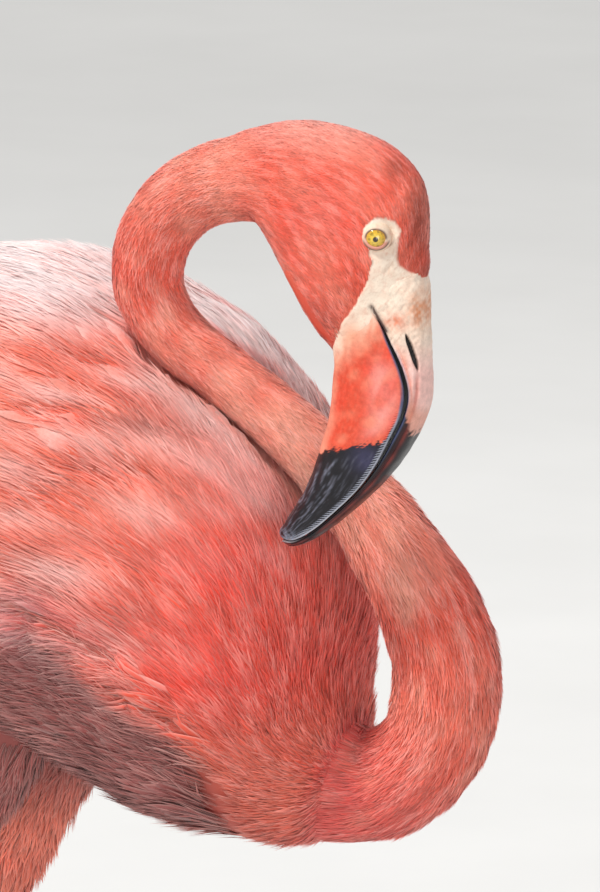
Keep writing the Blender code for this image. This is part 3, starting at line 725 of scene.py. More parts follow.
class Nodes:
    """Short calls that add and join nodes in one tree."""

    def __init__(self, tree):
        self.tree = tree

    def add(self, kind, **settings):
        node = self.tree.nodes.new(kind)
        for key, value in settings.items():
            setattr(node, key, value)
        return node

    def link(self, source, target):
        self.tree.links.new(source, target)

    def value(self, name):
        """The value of a named attribute of the mesh."""
        return self.add("ShaderNodeAttribute", attribute_name=name).outputs["Fac"]

    def colour(self, name):
        """The colour of a named attribute of the mesh."""
        return self.add("ShaderNodeAttribute", attribute_name=name).outputs["Color"]

    def math(self, operation, a, b=None):
        node = self.add("ShaderNodeMath", operation=operation)
        for socket, given in zip(node.inputs, (a, b)):
            self.fill(socket, given)
        return node.outputs[0]

    def fill(self, socket, given):
        if given is None:
            return
        if isinstance(given, (int, float, tuple)):
            socket.default_value = given
        else:
            self.link(given, socket)

    def mix(self, share, a, b, blend="MIX"):
        node = self.add("ShaderNodeMix", data_type="RGBA", blend_type=blend)
        self.fill(node.inputs["Factor"], share)
        self.fill(node.inputs[6], a)
        self.fill(node.inputs[7], b)
        return node.outputs[2]

    def shade(self, colour, level):
        """A colour multiplied by a grey level."""
        grey = self.add("ShaderNodeCombineColor")
        for socket in grey.inputs[:3]:
            self.link(level, socket)
        return self.mix(1.0, colour, grey.outputs[0], "MULTIPLY")

    def noise(self, scale, detail=3.0, rough=0.55):
        """Noise on Object coordinates, in metres."""
        place = self.add("ShaderNodeTexCoord").outputs["Object"]
        node = self.add("ShaderNodeTexNoise")
        node.inputs["Scale"].default_value = scale
        node.inputs["Detail"].default_value = detail
        node.inputs["Roughness"].default_value = rough
        self.link(place, node.inputs["Vector"])
        return node.outputs["Fac"]

    def cells(self, scale, feature="DISTANCE_TO_EDGE", stretch=(1, 1, 1)):
        """Cracked cells on Object coordinates: the distance to the nearest crack."""
        mapping = self.add("ShaderNodeMapping")
        mapping.inputs["Scale"].default_value = stretch
        self.link(self.add("ShaderNodeTexCoord").outputs["Object"], mapping.inputs["Vector"])
        node = self.add("ShaderNodeTexVoronoi", feature=feature)
        node.inputs["Scale"].default_value = scale
        self.link(mapping.outputs["Vector"], node.inputs["Vector"])
        return node.outputs["Distance"]

    def range(self, value, low, high, out_low=0.0, out_high=1.0):
        node = self.add("ShaderNodeMapRange", clamp=True)
        for socket, given in zip(node.inputs, (value, low, high, out_low, out_high)):
            self.fill(socket, given)
        return node.outputs[0]

    def bump(self, height, shader, distance, strength=1.0):
        node = self.add("ShaderNodeBump")
        node.inputs["Distance"].default_value = distance
        node.inputs["Strength"].default_value = strength
        self.link(height, node.inputs["Height"])
        self.link(node.outputs["Normal"], shader.inputs["Normal"])


def new_group(name, inputs, outputs):
    """An empty shader node group with named sockets: (name, kind, default) and (name, kind)."""
    tree = bpy.data.node_groups.new(name, "ShaderNodeTree")
    for label, kind, default in inputs:
        socket = tree.interface.new_socket(label, in_out="INPUT", socket_type=kind)
        socket.default_value = default
    for label, kind in outputs:
        tree.interface.new_socket(label, in_out="OUTPUT", socket_type=kind)
    nodes = Nodes(tree)
    return nodes, nodes.add("NodeGroupInput").outputs, nodes.add("NodeGroupOutput").inputs


def plume_group():
    """Feather colour: darker at the root, paler at the soft edge, a little different in each feather."""
    nodes, given, out = new_group(
        "plume",
        [
            ("Marking", "NodeSocketColor", (0.8, 0.3, 0.2, 1)),
            ("Tint", "NodeSocketFloat", 0.5),
            ("Along", "NodeSocketFloat", 0.5),
            ("Across", "NodeSocketFloat", 0.0),
            ("Edge", "NodeSocketFloat", 0.3),
            ("Root shade", "NodeSocketFloat", 0.5),
            ("Spread", "NodeSocketFloat", 0.35),
        ],
        [("Color", "NodeSocketColor")],
    )
    root = nodes.range(given["Along"], 0.0, 0.75, 1.0, 0.0)
    shade = nodes.math("SUBTRACT", 1.0, nodes.math("MULTIPLY", root, given["Root shade"]))
    apart = nodes.math("MULTIPLY", nodes.math("SUBTRACT", given["Tint"], 0.5), given["Spread"])
    level = nodes.math("MULTIPLY", shade, nodes.math("ADD", 1.0, apart))
    toned = nodes.shade(given["Marking"], level)
    side = nodes.range(nodes.math("ABSOLUTE", given["Across"]), 0.45, 1.0)
    tip = nodes.range(given["Along"], 0.7, 1.0)
    rim = nodes.math("MULTIPLY", nodes.math("MAXIMUM", side, tip), given["Edge"])
    pale = nodes.mix(0.6, toned, (0.98, 0.80, 0.74, 1.0))
    nodes.link(nodes.mix(rim, toned, pale), out["Color"])
    return nodes.tree


def barb_group():
    """The height of a feather's barbs: fine ridges that leave the shaft aslant, and the shaft itself."""
    nodes, given, out = new_group(
        "barbs",
        [
            ("Along", "NodeSocketFloat", 0.5), ("Across", "NodeSocketFloat", 0.0),
            ("Count", "NodeSocketFloat", 60.0),
        ],
        [("Height", "NodeSocketFloat"), ("Shaft", "NodeSocketFloat")],
    )
    width = nodes.math("ABSOLUTE", given["Across"])
    slant = nodes.math("SUBTRACT", given["Along"], nodes.math("MULTIPLY", width, 0.16))
    wave = nodes.math("SINE", nodes.math("MULTIPLY", nodes.math("MULTIPLY", slant, given["Count"]), 6.2832))
    shaft = nodes.range(width, 0.03, 0.10, 1.0, 0.0)
    height = nodes.math("ADD", nodes.math("MULTIPLY", wave, 0.35), nodes.math("MULTIPLY", shaft, 1.5))
    nodes.link(height, out["Height"])
    nodes.link(shaft, out["Shaft"])
    return nodes.tree


def group_node(nodes, tree, **given):
    """Places a group and fills its sockets; an underscore in a key stands for a space."""
    node = nodes.add("ShaderNodeGroup", node_tree=tree)
    for key, value in given.items():
        nodes.fill(node.inputs[key.replace("_", " ")], value)
    return node


def feather_material(name, edge, root_shade, spread, barbs=0.0):
    """Soft feathers: the marking under the plume group, barbs in the bump, and a faint sheen."""
    made, tree, shader = new_material(name, 0.72, sheen=0.18)
    nodes = Nodes(tree)
    along, across = nodes.value("along"), nodes.value("across")
    plume = group_node(
        nodes, GROUPS["plume"], Marking=nodes.colour("marking"), Tint=nodes.value("tint"),
        Along=along, Across=across, Edge=edge, Root_shade=root_shade, Spread=spread,
    )
    colour = plume.outputs["Color"]
    if barbs:
        vane = group_node(nodes, GROUPS["barbs"], Along=along, Across=across, Count=barbs)
        streak = nodes.range(nodes.noise(900, 2.0), 0.3, 0.7, 0.88, 1.06)
        colour = nodes.shade(colour, streak)
        nodes.bump(vane.outputs["Height"], shader, 0.0002, 0.6)
    nodes.link(colour, shader.inputs["Base Color"])
    shader.inputs["Specular IOR Level"].default_value = 0.3
    return made


def skin_material():
    """Skin: plumage colour in the shade of the feathers, bare wrinkled face skin, scaled legs."""
    made, tree, shader = new_material("skin", 0.6)
    nodes = Nodes(tree)
    bare, leg = nodes.value("bare"), nodes.value("leg")
    fine, broad = nodes.noise(1700, 4.0), nodes.noise(330, 5.0)
    shade = nodes.mix(bare, (0.80, 0.68, 0.66, 1), (1, 1, 1, 1))
    shade = nodes.mix(leg, shade, (1, 1, 1, 1))
    colour = nodes.mix(1.0, nodes.colour("marking"), shade, "MULTIPLY")
    flush = nodes.math("MULTIPLY", bare, nodes.range(broad, 0.54, 0.70, 0.0, 0.35))
    colour = nodes.mix(flush, colour, (0.72, 0.32, 0.22, 1))
    pits = nodes.math("MULTIPLY", bare, nodes.range(fine, 0.62, 0.72, 0.0, 0.35))
    colour = nodes.mix(pits, colour, (0.45, 0.27, 0.2, 1))
    plates = nodes.cells(190, stretch=(1.0, 1.0, 1.5))
    crack = nodes.math("MULTIPLY", leg, nodes.range(plates, 0.0, 0.09, 0.6, 0.0))
    colour = nodes.mix(crack, colour, (0.16, 0.09, 0.09, 1))
    nodes.link(colour, shader.inputs["Base Color"])
    wrinkle = nodes.math("MULTIPLY", nodes.math("ADD", fine, broad), nodes.math("MULTIPLY", bare, 0.6))
    scale = nodes.math("MULTIPLY", nodes.range(plates, 0.0, 0.12), leg)
    nodes.bump(nodes.math("ADD", wrinkle, scale), shader, 0.0004, 0.8)
    return made


def bill_material(name):
    """Horn: the piece's own colours with fine growth lines, glossier on the dark parts."""
    made, tree, shader = new_material(name, 0.38, coat=0.06)
    shader.inputs["Specular IOR Level"].default_value = 0.35
    nodes = Nodes(tree)
    dark = nodes.value("dark")
    mottle = nodes.range(nodes.noise(420, 5.0, 0.65), 0.3, 0.7, 0.82, 1.12)
    nodes.link(nodes.shade(nodes.colour("marking"), mottle), shader.inputs["Base Color"])
    nodes.link(nodes.range(dark, 0.0, 1.0, 0.50, 0.34), shader.inputs["Roughness"])
    fine = nodes.math("MULTIPLY", nodes.noise(2600, 2.0), 0.4)
    grain = nodes.math("ADD", nodes.noise(900, 3.0, 0.6), fine)
    nodes.bump(grain, shader, 0.00016, 0.5)
    return made


def eye_material():
    """A wet eye: yellow iris with olive flecks and rays, a small pupil and a dark rim."""
    made, tree, shader = new_material("eye", 0.08, coat=1.0)
    nodes = Nodes(tree)
    fleck = nodes.range(nodes.noise(2600, 3.0), 0.45, 0.7, 0.0, 0.35)
    colour = nodes.mix(fleck, nodes.colour("marking"), (0.22, 0.14, 0.02, 1))
    nodes.link(colour, shader.inputs["Base Color"])
    shader.inputs["Coat Roughness"].default_value = 0.02
    return made


def claw_material():
    """Dark horn, paler at the tip."""
    made, tree, shader = new_material("claw", 0.4, coat=0.1)
    nodes = Nodes(tree)
    tip = nodes.value("along")
    base = nodes.mix(tip, (0.035, 0.028, 0.03, 1), (0.16, 0.12, 0.11, 1))
    stain = nodes.range(nodes.noise(1200, 3.0), 0.4, 0.7, 0.0, 0.5)
    nodes.link(nodes.mix(stain, base, (0.01, 0.01, 0.012, 1)), shader.inputs["Base Color"])
    nodes.bump(nodes.noise(1800, 2.0), shader, 0.0002, 0.4)
    return made


def floor_material():
    """Matt pale paper with hardly any tone of its own."""
    made, tree, shader = new_material("studio_floor", 0.9)
    nodes = Nodes(tree)
    cloud = nodes.range(nodes.noise(6, 3.0), 0.3, 0.7)
    colour = nodes.mix(cloud, (0.56, 0.555, 0.545, 1), (0.585, 0.58, 0.57, 1))
    nodes.link(colour, shader.inputs["Base Color"])
    return made


# ---------------------------------------------------------------- feathers

UV_PATCH = 0.0015  # half the side of one tuft's patch on the unwrap
QUILL_STEPS, QUILL_COLUMNS, QUILL_TIP = 16, 9, 5.0


def blade_shape(t, tip, root=0.35):
    """Half width along a blade: it swells from the root and closes to the tip as a power of an oval."""
    return (root + (1 - root) * np.sin(np.clip(t / 0.55, 0, 1) * math.pi / 2)) * (1 - t**tip) ** 0.6


def plumage(
    hide, u, v, seed, steps, columns, length, width, lift, forward=1, turn=0.0, stray=0.16, clump=9.0,
    ruffle=0.5, roll=0.25, tilt=0.0, bend=0.10, tip=2.0, root=0.35, camber=0.2, rounding=0.5, lane=8.0,
    streak=0.0,
):
    """Blades laid along a hide. Returns their points, normals and values for make_mesh.

    Each blade is a strip whose middle line is combed along the hide and lifted from it, from
    lift[0] at its root to lift[1] at its tip. Its edges are the middle line plus and minus its
    half width along the direction across it, tilted by a roll, with the middle raised by a camber.
    Blades stray together in clumps, and their tones change in lanes along the hide.
    """
    count = len(u)
    rng = np.random.default_rng(seed)
    length = length * rng.uniform(0.8, 1.2, count)
    width = width * rng.uniform(0.8, 1.2, count)
    roots = hide.read(hide.points, u, v)
    clumps = ripple(roots, clump, seed + 1)
    turn = turn + stray * (0.7 * clumps + 0.5 * rng.normal(size=count))
    places, normals, runs = comb(hide, u, v, turn, length, steps, forward)
    t = np.linspace(0, 1, steps + 1)
    low, high = lift
    ruffled = np.maximum(1 + ruffle * ripple(roots, clump * 1.7, seed + 2), 0.2)[:, None]
    height = low + (high - low) * t[None, :] ** 1.2 * ruffled * rng.uniform(0.7, 1.3, (count, 1))
    side = np.cross(normals, runs)
    rolled = rng.normal(size=(count, 1, 1)) * roll + np.reshape(tilt, (-1, 1, 1))
    bent = rng.normal(size=(count, 1)) * bend * length[:, None] * t[None, :] ** 2
    middle = places + normals * height[..., None] + side * bent[..., None]
    blade = side * np.cos(rolled) + normals * np.sin(rolled)
    half = width[:, None] / 2 * blade_shape(t, tip, root)[None, :]
    across = np.linspace(-1, 1, columns)
    raised = camber * half[..., None] * (1 - across**2)
    points = middle[:, :, None, :] + blade[:, :, None, :] * (half[..., None] * across)[..., None]
    points = points + normals[:, :, None, :] * raised[..., None]
    facing = normals[:, :, None, :] + blade[:, :, None, :] * (rounding * across)[None, None, :, None]
    shape = (count, steps + 1, columns)
    angle = np.mod(v, hide.sides) / hide.sides * 2 * math.pi
    unrolled = np.stack([60 * np.cos(angle), 60 * np.sin(angle), 0.35 * u], -1)
    lanes = ripple(unrolled, lane, seed + 3)
    tint = np.clip(0.5 + 0.2 * clumps + 0.22 * lanes + 0.2 * rng.normal(size=count), 0, 1)
    pale = streak * np.clip(1.3 * lanes + 0.3 * rng.normal(size=count), 0, 1)
    marking = mix(coat_colours(middle), STREAK, pale[:, None] * np.ones(steps + 1))
    patch = uv_patch(t, across, shape)
    place = np.stack([np.mod(v, hide.sides) / hide.sides, u / hide.rows], -1)[:, None, None, :]
    return {
        "points": points,
        "normals": unit(facing),
        "tint": np.broadcast_to(tint[:, None, None], shape),
        "along": np.broadcast_to(t[None, :, None], shape),
        "across": np.broadcast_to(across, shape),
        "marking": np.broadcast_to(marking[:, :, None, :], (*shape, 3)),
        "uv": 0.01 + 0.98 * place + patch,
    }


def uv_patch(t, across, shape):
    """The unwrap of a blade round its own place: from -1 to 1 along and across, times the patch's size."""
    along = np.broadcast_to(2 * t[:, None] - 1, shape)
    return np.stack([np.broadcast_to(across, shape), along], -1) * UV_PATCH


def blade_faces(count, rows, columns, start):
    """Quads of many equal strips, numbered one strip after another, facing away from the hide."""
    one = grid_faces(rows, columns)[:, ::-1]
    return (one[None, :, :] + (np.arange(count) * rows * columns)[:, None, None]).reshape(-1, 4) + start


def coat_piece(name, finish, bundles):
    """Joins bundles of blades into one mesh and shows it as a piece."""
    faces, start = [], 0
    for bundle in bundles:
        count, rows, columns = bundle["points"].shape[:3]
        faces.append(blade_faces(count, rows, columns, start))
        start += count * rows * columns
    whole = {
        key: np.concatenate([bundle[key].reshape(-1, *bundle[key].shape[3:]) for bundle in bundles])
        for key in bundles[0]
    }
    values = {key: whole[key] for key in ("tint", "along", "across")}
    mesh = make_mesh(
        name, whole["points"], np.concatenate(faces), values, whole["marking"], whole["uv"], whole["normals"]
    )
    return add_piece(name, mesh, finish)


def clear_of_neck(points, clearance):
    """Moves what lies in the neck's way straight out from the neck's middle line."""
    path = smooth_rows(NECK[6:16], 80)
    flat = points.reshape(-1, 3).copy()
    beside = (flat[:, 0] > -140) & (np.abs(flat[:, 1] + 25) < 60)
    near = np.flatnonzero(beside & (flat[:, 2] > -180) & (flat[:, 2] < 20))
    for chunk in np.array_split(near, max(1, len(near) // 20000)):
        away = flat[chunk, None, :] - path[None, :, :3]
        distance = np.linalg.norm(away, axis=-1)
        nearest = (distance - path[:, 3]).argmin(1)
        pick = np.arange(len(chunk))
        gap = distance[pick, nearest] - path[nearest, 3] - clearance
        push = np.where(gap < 0, -gap, 0)
        flat[chunk] += unit(away[pick, nearest]) * push[:, None]
    return flat.reshape(points.shape)


def feather_folds(hide, strength):
    """How far tracts of ruffled feathers stand out, in long folds that run with the body.

    A slow wave stretched along the body gives the folds, and a narrow trough where the wave
    passes a set level gives the creases between them.
    """
    points = hide.points
    x, z = points[..., 0], points[..., 2]
    wave = ripple(points * (0.5, 0.9, 1.0), 30, 35)
    crease = ridge_line(wave + 0.15, 0.16)
    where = smooth_step(-84, -112, x) * smooth_step(-196, -150, z) * smooth_step(-420, -300, x)
    where = where * (0.35 + 0.65 * smooth_step(-52, -64, z + 0.1 * (x + 130)))
    return strength * (where * (2.2 * wave - 2.0 * crease) - 3.2 * fold_marks(points))


def under_fringe(points):
    """How far the belly lies in under the wing's lower edge and the breast's fringe."""
    x, z = points[..., 0], points[..., 2]
    depth = 4.5 * smooth_step(2, -14, z - edge_height(x))
    return depth * smooth_step(-70, -96, x) * smooth_step(-330, -250, x)


def build_hides():
    """The lofts that feathers are laid on, at the depth of the skin."""
    neck_head = Hide(neck_and_head_rings(NECK_RINGS, HEAD_RINGS, NECK_SIDES))
    on_head = (np.arange(neck_head.rows) > HEAD_START)[:, None]
    depth = np.where(on_head, 0.9 - 0.75 * bareness(neck_head.points), 1.5)
    depth = np.where(neck_head.points[..., 2] < -150, 2.0, depth)
    for _ in range(10):
        depth = (np.roll(depth, 1, 0) + depth + np.roll(depth, -1, 0)) / 3
    ring = np.arange(neck_head.rows)
    depth = depth + 0.9 * smooth_step(neck_head.rows - 18, neck_head.rows - 1, ring)[:, None]
    brow = spot(neck_head.points, (17.0, HEAD_SIDE, -12.5), (6.0, 9.0, 7.0))
    depth = depth - 1.3 * brow * smooth_step(neck_head.rows - 4, neck_head.rows - 14, ring)[:, None]
    trunk = Hide(clear_of_neck(body_rings(TRUNK, 150, 120, 2.15), 0.6))
    trunk_depth = np.interp(np.arange(150), (0, 20, 60, 149), (2, 3.2, 4.2, 4.0))[:, None]
    fullness = np.interp(np.arange(190), (60, 90), (2.15, 2.3))
    mantle = Hide(clear_of_neck(body_rings(MANTLE, 190, 120, fullness), 0.6))
    mantle_depth = np.interp(np.arange(190), (0, 20, 60, 189), (2, 3.2, 4.4, 3.6))[:, None]
    return {
        "neck_head": neck_head.drawn_in(depth),
        "trunk": trunk.drawn_in(trunk_depth + under_fringe(trunk.points)),
        "mantle": mantle.drawn_in(mantle_depth + under_fringe(mantle.points) - feather_folds(mantle, 1.0)),
    }


def face_relief(points):
    """How far the face stands out: the eye's well, its rim, the mouth's corner, the throat's two folds.

    The well deepens forward, because the eyelids look forward while the cheek faces sideways.
    """
    x, z = points[..., 0], points[..., 2]
    from_eye = np.hypot(x - IRIS_FORWARD, z)
    to_lids = np.clip(0.25 + 0.365 * (x - IRIS_FORWARD + LID_WIDE), 0, 3.2)
    relief = -to_lids * smooth_step(10.0, 4.2, from_eye) - 2.6 * smooth_step(4.2, 3.0, from_eye)
    relief += 0.45 * ridge_line(from_eye - 5.6, 0.8)
    relief -= 0.5 * ridge_line(from_eye - 4.7, 0.5) * smooth_step(0, -3, z)
    for start, end, breadth, height in FACE_LINES:
        relief += height * ridge_line(line_gap(x, z, start, end), breadth)
    relief += (0.05 * ripple(points, 2.2, 51) + 0.14 * ripple(points, 7.0, 52)) * bareness(points)
    return relief * smooth_step(4, 8, np.abs(points[..., 1] - HEAD_SIDE))


def leg_rings(side_name, side):
    """A leg from inside the belly to the ankle joint of the foot, as level ovals."""
    top = np.array(LEG_TOP, float)
    top[:, 1] *= side
    bare = np.array(SHIN, float)
    bare[:, 0] += LEG_STEP[side_name] * (bare[0, 2] - bare[:, 2]) / (bare[0, 2] - bare[-1, 2])
    top[:, 3:] -= np.array([5.0, 4.0]) * np.linspace(1, 0.1, 5)[:, None]
    rows = smooth_rows(np.vstack([top[:-1], bare]), 300)
    centre = rows[:, :3] + np.array([0, side * LEG_SIDE, 0])
    reach = np.column_stack([rows[:, 3], np.zeros(300), np.zeros(300)])
    rings = ovals(centre + reach, centre - reach, rows[:, 4], 22)
    height = rings[:, :, 2]
    front = np.maximum(np.cos(np.linspace(0, 2 * math.pi, 22, endpoint=False)), 0) ** 0.5
    scutes = 0.28 * np.abs(np.sin(height * math.pi / 5.5)) ** 0.5 * front * smooth_step(-508, -530, height)
    knobs = 0.5 * ripple(rings, 9.0, 61) * ridge_line(height - ANKLE, 16)
    return rings + unit(rings - centre[:, None, :]) * (scutes + knobs)[..., None]


def foot_centre(side_name, side):
    """Where a foot's middle stands on the floor."""
    return np.array([SHIN[-1][0] + LEG_STEP[side_name], side * LEG_SIDE, FLOOR])


def toe_rings(start, length, turn, radius, tip_radius):
    """A toe on the floor: flattened rings along a straight run, swelling at its joints."""
    share = np.linspace(0, 1, 46)
    joints = 0.55 * np.sin(share * math.pi * 3.2) ** 4
    size = np.interp(share, (0, 1), (radius, tip_radius)) + joints
    size = size * np.sqrt(np.clip(1 - smooth_step(0.955, 1.02, share) ** 2, 0.05, 1))
    run = np.array([math.cos(math.radians(turn)), math.sin(math.radians(turn)), 0])
    side = np.array([-run[1], run[0], 0])
    arch = np.linspace(0, 2 * math.pi, 20, endpoint=False)
    centre = start + run * (share * length)[:, None]
    rings = centre[:, None, :] + side * (size[:, None] * np.cos(arch))[..., None]
    rise = np.where(np.sin(arch) > 0, 1.9 * np.sin(arch), 0.0)
    rings[:, :, 2] += size[:, None] * rise
    return rings


def web_rings(start, side):
    """The web as a fan of rings from the heel: each ring is a flat oval across the skin's thickness.

    Its front edge is a straight line between neighbouring toes drawn in by a sine.
    """
    turn, reach = [], []
    for k in (0, 1):
        s = np.linspace(0, 1, 30)
        turn.append(TOE_TURNS[k] + (TOE_TURNS[k + 1] - TOE_TURNS[k]) * s)
        whole = TOE_LENGTHS[k] + (TOE_LENGTHS[k + 1] - TOE_LENGTHS[k]) * s
        reach.append(whole * 0.9 * (1 - 0.2 * np.sin(math.pi * s)))
    turn, reach = np.radians(np.concatenate(turn)), np.concatenate(reach)
    share = np.concatenate([np.linspace(0.02, 1, 26), np.linspace(1, 0.02, 26)])
    level = np.concatenate([np.full(26, 1.7), np.full(26, 0.0)])
    flat = (reach[:, None] * share)[..., None] * np.stack([np.cos(turn), side * np.sin(turn)], -1)[:, None, :]
    sag = 0.35 * np.sin(share * 60) * (level > 0)
    height = np.broadcast_to(level + sag, flat.shape[:2])[..., None]
    return np.concatenate([flat, height], -1) + start


def foot_shell(side_name, side):
    """The foot: instep, toes and web, fused and softened into one shell."""
    start = foot_centre(side_name, side)
    heights = np.array([30, 22, 15, 9, 4, 0.0])
    centre = start + np.column_stack([np.linspace(0, 1.5, 6), np.zeros(6), heights])
    reach = np.column_stack([np.array([7.8, 8.2, 8.6, 9.4, 10, 9.6]), np.zeros(6), np.zeros(6)])
    half_widths = np.array([7, 7.2, 7.6, 8.2, 8.8, 8.4])
    shells = [closed_shell("instep", ovals(centre + reach, centre - reach, half_widths, 24))]
    for length, turn in zip(TOE_LENGTHS, TOE_TURNS):
        shells.append(closed_shell("toe", toe_rings(start, length + 1.5, turn * side, 4.1, 2.2)))
    hind = toe_rings(start - (4, 0, 0), 18.0, 180 - 14 * side, 3.3, 1.8)
    shells.append(closed_shell("hind_toe", hind))
    shells.append(closed_shell("web", web_rings(start, side)))
    foot = bpy.data.objects.new("foot", welded("foot", shells))
    bpy.context.scene.collection.objects.link(foot)
    fuse = foot.modifiers.new("fuse", "REMESH")
    fuse.mode, fuse.voxel_size = "VOXEL", 0.0011
    soften = foot.modifiers.new("soften", "SMOOTH")
    soften.factor, soften.iterations = 0.5, 3
    mesh = applied(foot)
    bpy.data.objects.remove(foot, do_unlink=True)
    foot = bpy.data.objects.new("foot_" + side_name, mesh)
    bpy.context.scene.collection.objects.link(foot)
    return foot


# A section of the eyelids: how far out from the opening, as an angle on the eyeball, and the height over it.
LID_SECTION = [
    (0.02, -0.5), (-0.01, -0.05), (0.0, 0.26), (0.05, 0.40), (0.12, 0.34), (0.30, 0.25), (0.55, 0.22),
    (0.85, 0.10), (0.85, -0.5), (0.45, -0.55), (0.02, -0.5),
]


def lid_rings(side):
    """Both eyelids as one closed band on the eyeball, round an oval opening with a rolled edge.

    Each ring is the band's section, which runs out over the eyeball and back inside it. The edge
    is thicker below, where the lower lid folds. Also gives each point's angle out from the edge.
    """
    turn = np.linspace(0, 2 * math.pi, 96, endpoint=False)
    axis = eye_axis(side)
    right = unit(np.cross(axis, (0.0, 0.0, 1.0)))
    up = np.cross(right, axis)
    opening = np.column_stack([LID_WIDE * np.cos(turn), LID_HIGH * np.sin(turn) + 0.25])
    edge = np.arcsin(np.linalg.norm(opening, axis=1) / EYE_RADIUS)[:, None]
    out = unit(right * opening[:, :1] + up * opening[:, 1:])
    angle, height = smooth_rows(LID_SECTION, 41)[:-1].T
    fold = 0.35 * smooth_step(-0.2, -0.9, np.sin(turn))[:, None] * ridge_line(angle - 0.10, 0.12)
    polar = edge + angle
    radius = EYE_RADIUS + height + fold * (height > 0)
    way = axis * np.cos(polar)[..., None] + out[:, None, :] * np.sin(polar)[..., None]
    return eye_centre(side) + radius[..., None] * way, angle


def eye_centre(side):
    """The middle of an eyeball."""
    return np.array([EYE_FORWARD, HEAD_SIDE + side * EYE_DEPTH, 0.0])


def eye_axis(side):
    """The way an eye looks: out to its side and a little forward."""
    return unit(np.array([math.sin(math.radians(20)), side * math.cos(math.radians(20)), -0.04]))


def build_skin(hides):
    """One closed skin for all the flesh: trunk, wings, neck, head, thighs, legs and feet."""
    head = hides["neck_head"]
    relief = face_relief(head.points) * (np.arange(head.rows) > HEAD_START)[:, None]
    head_points = head.points + head.normals * relief[..., None]
    shells = [closed_shell("trunk_skin", hides["trunk"].points[::2, ::2])]
    shells.append(closed_shell("mantle_skin", hides["mantle"].points[::2, ::2]))
    rows = np.concatenate([np.arange(12, HEAD_START, 4), np.arange(HEAD_START, head.rows)])
    shells.append(closed_shell("neck_skin", head_points[rows]))
    for name, side in SIDES:
        shells.append(closed_shell("leg_skin_" + name, leg_rings(name, side)))
        shells.append(foot_shell(name, side))
    mesh = welded("skin", shells)
    points = mesh_points(mesh)
    set_value(mesh, "bare", bareness(points))
    set_value(mesh, "leg", smooth_step(THIGH_END, THIGH_END - 10, points[:, 2]))
    set_marking(mesh, skin_colours(points))
    mesh.shade_smooth()
    return add_piece("skin", mesh, skin_material())


def coat_neck_and_head(hide):
    """Velvet on the head, and hair-like strands down the neck that lengthen towards the breast."""
    row = np.arange(hide.rows)[:, None] * np.ones(hide.sides)
    bare = bareness(hide.points)
    velvet = feather_material("velvet", 0.2, 0.25, 0.46)
    strands = feather_material("neck_strands", 0.25, 0.3, 0.42)
    u, v = hide.scatter(42000, (row > 285) * (1 - smooth_step(0.25, 0.5, bare)), 5)
    size = 0.5 + 0.5 * smooth_step(509, 401, u)
    head = plumage(
        hide, u, v, seed=5, length=3.9 * size, width=0.62 * size, lift=(0.1, 0.55), steps=2, columns=2,
        forward=-1, stray=0.2, clump=5.0, roll=0.25, tip=1.6, root=0.7, ruffle=0.4, streak=0.22, lane=6.0,
    )
    coat_piece("coat_head", velvet, [head])
    for name, low, high, count in (("upper", 150, 292, 32000), ("lower", 2, 158, 38000)):
        u, v = hide.scatter(count, ((row > low) & (row <= high)) * 1.0, 7 + low)
        length = np.interp(u, (10, 34, 60, 200, HEAD_START), (27, 21, 11, 7.5, 5.0))
        bundle = plumage(
            hide, u, v, seed=7 + low, length=length, width=np.interp(u, (10, HEAD_START), (1.0, 0.75)),
            lift=(0.15, 1.5 if low < 100 else 0.85), steps=2, columns=2, forward=-1, stray=0.15,
            roll=0.3, tip=1.6, root=0.6, bend=0.07, streak=0.35,
        )
        coat_piece("coat_neck_" + name, strands, [bundle])


def coat_breast(hide):
    """Breast and shoulders: small soft feathers, and over them fine streaks that fan from the neck's foot."""
    x, z = hide.points[..., 0], hide.points[..., 2]
    front = smooth_step(-146, -116, x) * (z > edge_height(x))
    down = feather_material("breast_feathers", 0.3, 0.3, 0.35, barbs=26)
    streaks = feather_material("breast_streaks", 0.3, 0.2, 0.5)
    u, v = hide.scatter(2600, front, 11)
    under = plumage(
        hide, u, v, seed=11, length=np.interp(u, (5, 70), (13, 24)), width=np.interp(u, (5, 70), (5, 9)),
        lift=(0.2, 1.1), steps=4, columns=3, clump=22, stray=0.08, tip=2.6, roll=0.1, streak=0.15,
    )
    coat_piece("coat_breast_feathers", down, [under])
    for name, seed in (("a", 12), ("b", 13)):
        u, v = hide.scatter(29000, front, seed)
        over = plumage(
            hide, u, v, seed=seed, length=np.interp(u, (5, 70), (9, 19)),
            width=np.interp(u, (5, 70), (0.85, 1.1)), lift=(0.7, 2.7), steps=2, columns=2, clump=8,
            stray=0.13, tip=1.5, root=0.5, bend=0.08, streak=0.34, lane=6.0,
        )
        coat_piece("coat_breast_streaks_" + name, streaks, [over])


